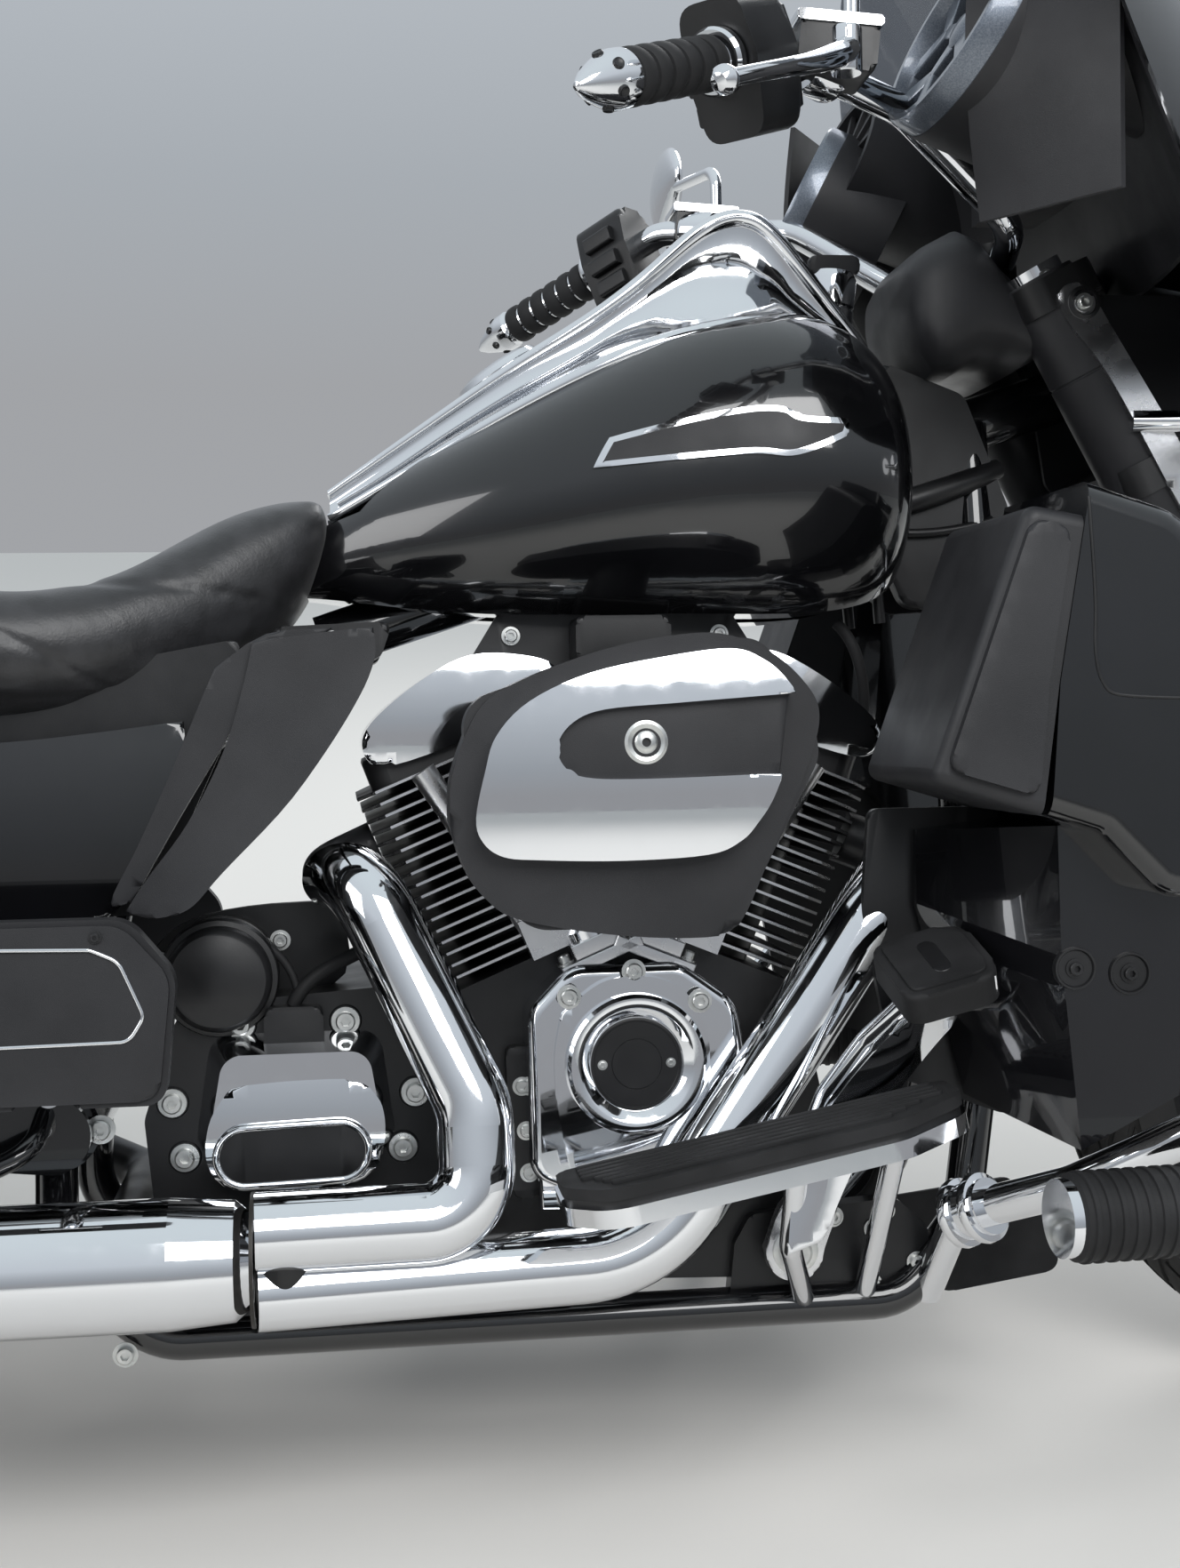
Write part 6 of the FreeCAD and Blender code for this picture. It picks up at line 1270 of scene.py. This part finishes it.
# Lower fairings
# Gloss painted shells with a grained door and skirt; a panel line, two recessed screws and the door's piping.
lower_skin = skin_of("lower_fairings")
door_skin = skin_of("storage_door_right", "storage_door_left")
door_pad = rounded([(1074, 580, 12), (1140, 560, 8), (1148, 640, 30), (1166, 748, 12), (1138, 756, 14)])
line_points = dense([(1180, 770), (1184, 700), (1184, 660), (1190, 638), (1206, 630), (1290, 626)], 6)
for side, word in ((1, "left"), (-1, "right")):
    flat = plate(door_pad, -1, 4, 3, 3, lambda x, z: 3.0, 8)
    new_piece(f"door_pad_{word}", laid_on(door_skin, flat, side), moulding, f"storage_door_{word}", sharp=50)
seams, cups, cup_screws = [], [], []
for side in (1, -1):
    points = []
    for p in line_points:
        hit = lower_skin.ray_cast(Vector((p.x, side * 500, p.y)), Vector((0, -side, 0)))[0]
        if hit:
            points.append((p.x, hit.y, p.y))
    seams.append(run("panel_line", points, 1.3))
    for x, z in ((1186, 431), (1228, 426)):
        hit = lower_skin.ray_cast(Vector((x, side * 500, z)), Vector((0, -side, 0)))[0]
        cups.append(lathe([(0.01, 0.6), (13, 0.6), (14, 2.6), (15.5, 2.6), (16, 0), (16, -3), (0.01, -3)], hit,
                          (0, side, 0), 40))
        cup_screws.append((x, hit.y + side * 1, z, 0, side, 0, 5))
new_piece("fairing_lines", join(seams + cups), satin_black, sharp=40)
screws("fairing_screws", cup_screws, satin_black)

# Mud flap, guard clamps and pegs
# A rubber flap hangs from the frame behind the front wheel; chromed rings clamp the guard; its pegs wear
# rubber.
flap = plate(rounded([(1156, 166, 10), (1279, 180, 10), (1281, 122, 14), (1166, 106, 20)]), -54, -58, 1.5)
new_piece("mud_flap", both(flap), rubber)
rings, treads = [], []
for side in (1, -1):
    leaning = (Vector((1215, side * 262, 250)) - Vector((1152, side * 172, 208))).normalized()
    for reach in (0, 22):
        rings.append(lathe([(22, -5), (28, -4), (29, 0), (28, 4), (22, 5)],
                           Vector((1154, side * 174, 209)) + leaning * reach, leaning, 48))
    tread = lathe([(28, 6), (31, 8), (31, 96), (28, 98)], (1152, side * 398, 262), (1, side * -0.054, 0), 64)
    treads.append(tread)
    for i in range(9):
        treads.append(lathe([(30.6, 12 + 10 * i), (32.6, 13 + 10 * i), (32.6, 16 + 10 * i),
                             (30.6, 17 + 10 * i)], (1152, side * 398, 262), (1, side * -0.054, 0), 64))
new_piece("guard_rings", join(rings), chrome)
new_piece("peg_rubbers", join(treads), rubber)

# Fork cover
# A soft-edged moulding hides the bar's middle and the steering head; dark sleeves cover the tubes under it.
COVER = [(1150, 70, 962, 1006), (1158, 84, 934, 1020), (1170, 98, 912, 1030), (1190, 108, 914, 1040),
         (1204, 112, 922, 1032), (1222, 114, 922, 1006), (1244, 115, 916, 984), (1262, 112, 926, 962),
         (1272, 100, 934, 950)]
cover_rows = [oval(*row, squareness=0.6) for row in COVER]
fork_cover = new_piece("fork_cover", tube_of(cover_rows), moulding, "fork", sharp=60)
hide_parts("fork_cap")
TUBE_TOP, TUBE_LOW = Vector((1241, 106, 1006)), Vector((1452, 106, 606))
tube_way = (TUBE_LOW - TUBE_TOP).normalized()
neck_edge = rounded([(1128, 930, 10), (1206, 900, 20), (1246, 800, 30), (1240, 716, 20), (1150, 712, 20),
                     (1112, 800, 20)])
sleeve_shapes, head_shapes = [], []
for side in (1, -1):
    top = on_side(side, *TUBE_TOP) + tube_way * 20
    sleeve_shapes.append(lathe([(25, 0), (31, 0), (32, 3), (31.6, 90), (30.6, 91), (30.6, 92), (31.6, 93),
                                (30, 250), (29, 252), (25, 252)], top, tube_way, 72))
    head_shapes.append(plate(neck_edge, side * 30, side * 46, 8, 4))
    head_shapes.append(run("neck_boot", [(1130, side * 50, 800), (1170, side * 52, 810), (1210, side * 50, 824),
            (1238, side * 40, 836)], 11, tapers=[1.0, 1.1, 1.0, 0.8]))
    head_shapes.append(run("neck_lead", [(1118, side * 50, 900), (1124, side * 52, 840), (1120, side * 52, 760),
            (1126, side * 50, 700)], 5))
    head_shapes.append(run("neck_lead", [(1120, side * 50, 782), (1170, side * 52, 772),
            (1230, side * 48, 790)], 4))
skirt = plate(rounded([(1296, 985, 10), (1420, 985, 20), (1420, 830, 30), (1370, 800, 20), (1320, 830, 20)]),
              58, 63, 2)
sleeve_shapes.append(both(skirt))
new_piece("fork_sleeves", join(sleeve_shapes), moulding, "fork", sharp=40)
duct_side = plate(rounded([(1070, 545, 10), (1064, 460, 20), (1090, 330, 20), (1180, 296, 20), (1270, 330, 20),
                           (1270, 545, 10)]), 198, 206, 3)
head_shapes.append(both(duct_side))
new_piece("neck_covers", join(head_shapes), satin_black, sharp=50)

# Inner fairing wings
# Grained moulded panels, bowed a little, close the gap between each speaker and the fairing's edge. They are
# clipped to the fairing.
wings = []
for side in (1, -1):
    rings = []
    for i in range(13):
        bow = 10 * math.sin(math.pi * i / 12)
        outer, inner = [[Vector((x - bow + (68 + bow) * j / 8, side * (y + 100 * j / 8), 985 + 21 * i))
                         for j in range(9)] for x, y in ((1136, 296), (1140, 294))]
        rings.append(outer + inner[::-1])
    wings.append(tube_of(rings))
new_piece("inner_wings", join(wings), moulding, "fork", sharp=40)

# Rocker covers
# Chromed, rounded castings over the rocker boxes on both sides of each cylinder, screwed down from above.
rocker_rear = flow([(826, 640), (838, 660), (815, 673), (763, 675), (718, 652), (680, 620), (673, 598),
                    (690, 584), (754, 604), (826, 640)], 5)[:-1]
rocker_front = flow([(958, 640), (962, 662), (985, 675), (1021, 675), (1066, 650), (1104, 618), (1112, 598),
                     (1094, 584), (1030, 604), (958, 640)], 5)[:-1]
rockers = []
for outline in (rocker_rear, rocker_front):
    half_cover = plate(outline, -2, -98, 15, 6, crown(-4, 632, 46), 8)
    rockers.append(both(half_cover))
rocker_chrome = new_piece("rocker_tops", join(rockers), chrome, sharp=50)
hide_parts("rocker_covers")

# Studio
# A flat pale floor under a graded sky, soft lamps overhead and the photograph's camera.
floor_mesh = bpy.data.meshes.new("floor")
floor_mesh.from_pydata([(-9, -9, 0), (9, -9, 0), (9, 9, 0), (-9, 9, 0)], [], [(0, 1, 2, 3)])
floor = bpy.data.objects.new("floor", floor_mesh)
bpy.context.scene.collection.objects.link(floor)
pale = bpy.data.materials.new("pale_floor")
pale.use_nodes = True
shader = pale.node_tree.nodes["Principled BSDF"]
shader.inputs["Base Color"].default_value = (0.64, 0.62, 0.59, 1)
shader.inputs["Roughness"].default_value = 0.75
floor_mesh.materials.append(pale)

world = bpy.data.worlds.new("studio")
bpy.context.scene.world = world
world.use_nodes = True
nodes, links = world.node_tree.nodes, world.node_tree.links
background = nodes["Background"]
direction = nodes.new("ShaderNodeTexCoord")
height = nodes.new("ShaderNodeSeparateXYZ")
sky = nodes.new("ShaderNodeValToRGB")
sky.color_ramp.elements[0].position, sky.color_ramp.elements[0].color = 0.50, (0.40, 0.41, 0.43, 1)
sky.color_ramp.elements[1].position, sky.color_ramp.elements[1].color = 1.0, (0.86, 0.95, 1.0, 1)
for position, grey in ((0.55, 0.46), (0.62, 0.58), (0.72, 0.80)):
    stop = sky.color_ramp.elements.new(position)
    stop.color = (grey * 0.93, grey, grey * 1.08, 1)
half = nodes.new("ShaderNodeMapRange")
half.inputs["From Min"].default_value = -1.0
links.new(direction.outputs["Generated"], height.inputs["Vector"])
links.new(height.outputs["Z"], half.inputs["Value"])
links.new(half.outputs["Result"], sky.inputs["Fac"])
links.new(sky.outputs["Color"], background.inputs["Color"])
background.inputs["Strength"].default_value = 0.9


def soft_lamp(name, where, aim, size, power):
    """A square softbox."""
    light = bpy.data.lights.new(name, "AREA")
    light.shape = "SQUARE"
    light.size = size
    light.energy = power
    lamp = bpy.data.objects.new(name, light)
    lamp.location = where
    lamp.rotation_euler = (Vector(aim) - Vector(where)).to_track_quat("-Z", "Y").to_euler()
    bpy.context.scene.collection.objects.link(lamp)


soft_lamp("key", (0.8, -3.2, 3.4), (0.2, 0, 0.6), 2.4, 130)
soft_lamp("fill", (-3.2, -1.6, 2.2), (0, 0, 0.7), 2.0, 50)
soft_lamp("rim", (2.4, 3.0, 3.0), (0.2, 0, 0.8), 2.2, 90)

# fitted to the photograph: focal length and height in its pixels, place in metres from the rear axle
FOCAL, PHOTO_HEIGHT, SENSOR = 2150, 1764, 36
CAMERA_AHEAD, CAMERA_OFF, CAMERA_UP = 0.6568, 1.550, 0.9014
camera_data = bpy.data.cameras.new("camera")
camera_data.lens = SENSOR * FOCAL / PHOTO_HEIGHT
camera_data.sensor_width = SENSOR
camera_data.clip_end = 60
camera = bpy.data.objects.new("camera", camera_data)
YAW, PITCH, ROLL = math.radians(7.5), math.radians(11.75), math.radians(0.3)
look = Vector((math.sin(YAW) * math.cos(PITCH), math.cos(YAW) * math.cos(PITCH), -math.sin(PITCH)))
camera.location = Vector((rest_axle.x + CAMERA_AHEAD, at(0, 0, 0).y - CAMERA_OFF, CAMERA_UP))
camera.rotation_euler = (look.to_track_quat("-Z", "Y").to_matrix() @ Matrix.Rotation(ROLL, 3, "Z")).to_euler()
bpy.context.scene.collection.objects.link(camera)
bpy.context.scene.camera = camera
bpy.context.scene.view_settings.view_transform = "Standard"
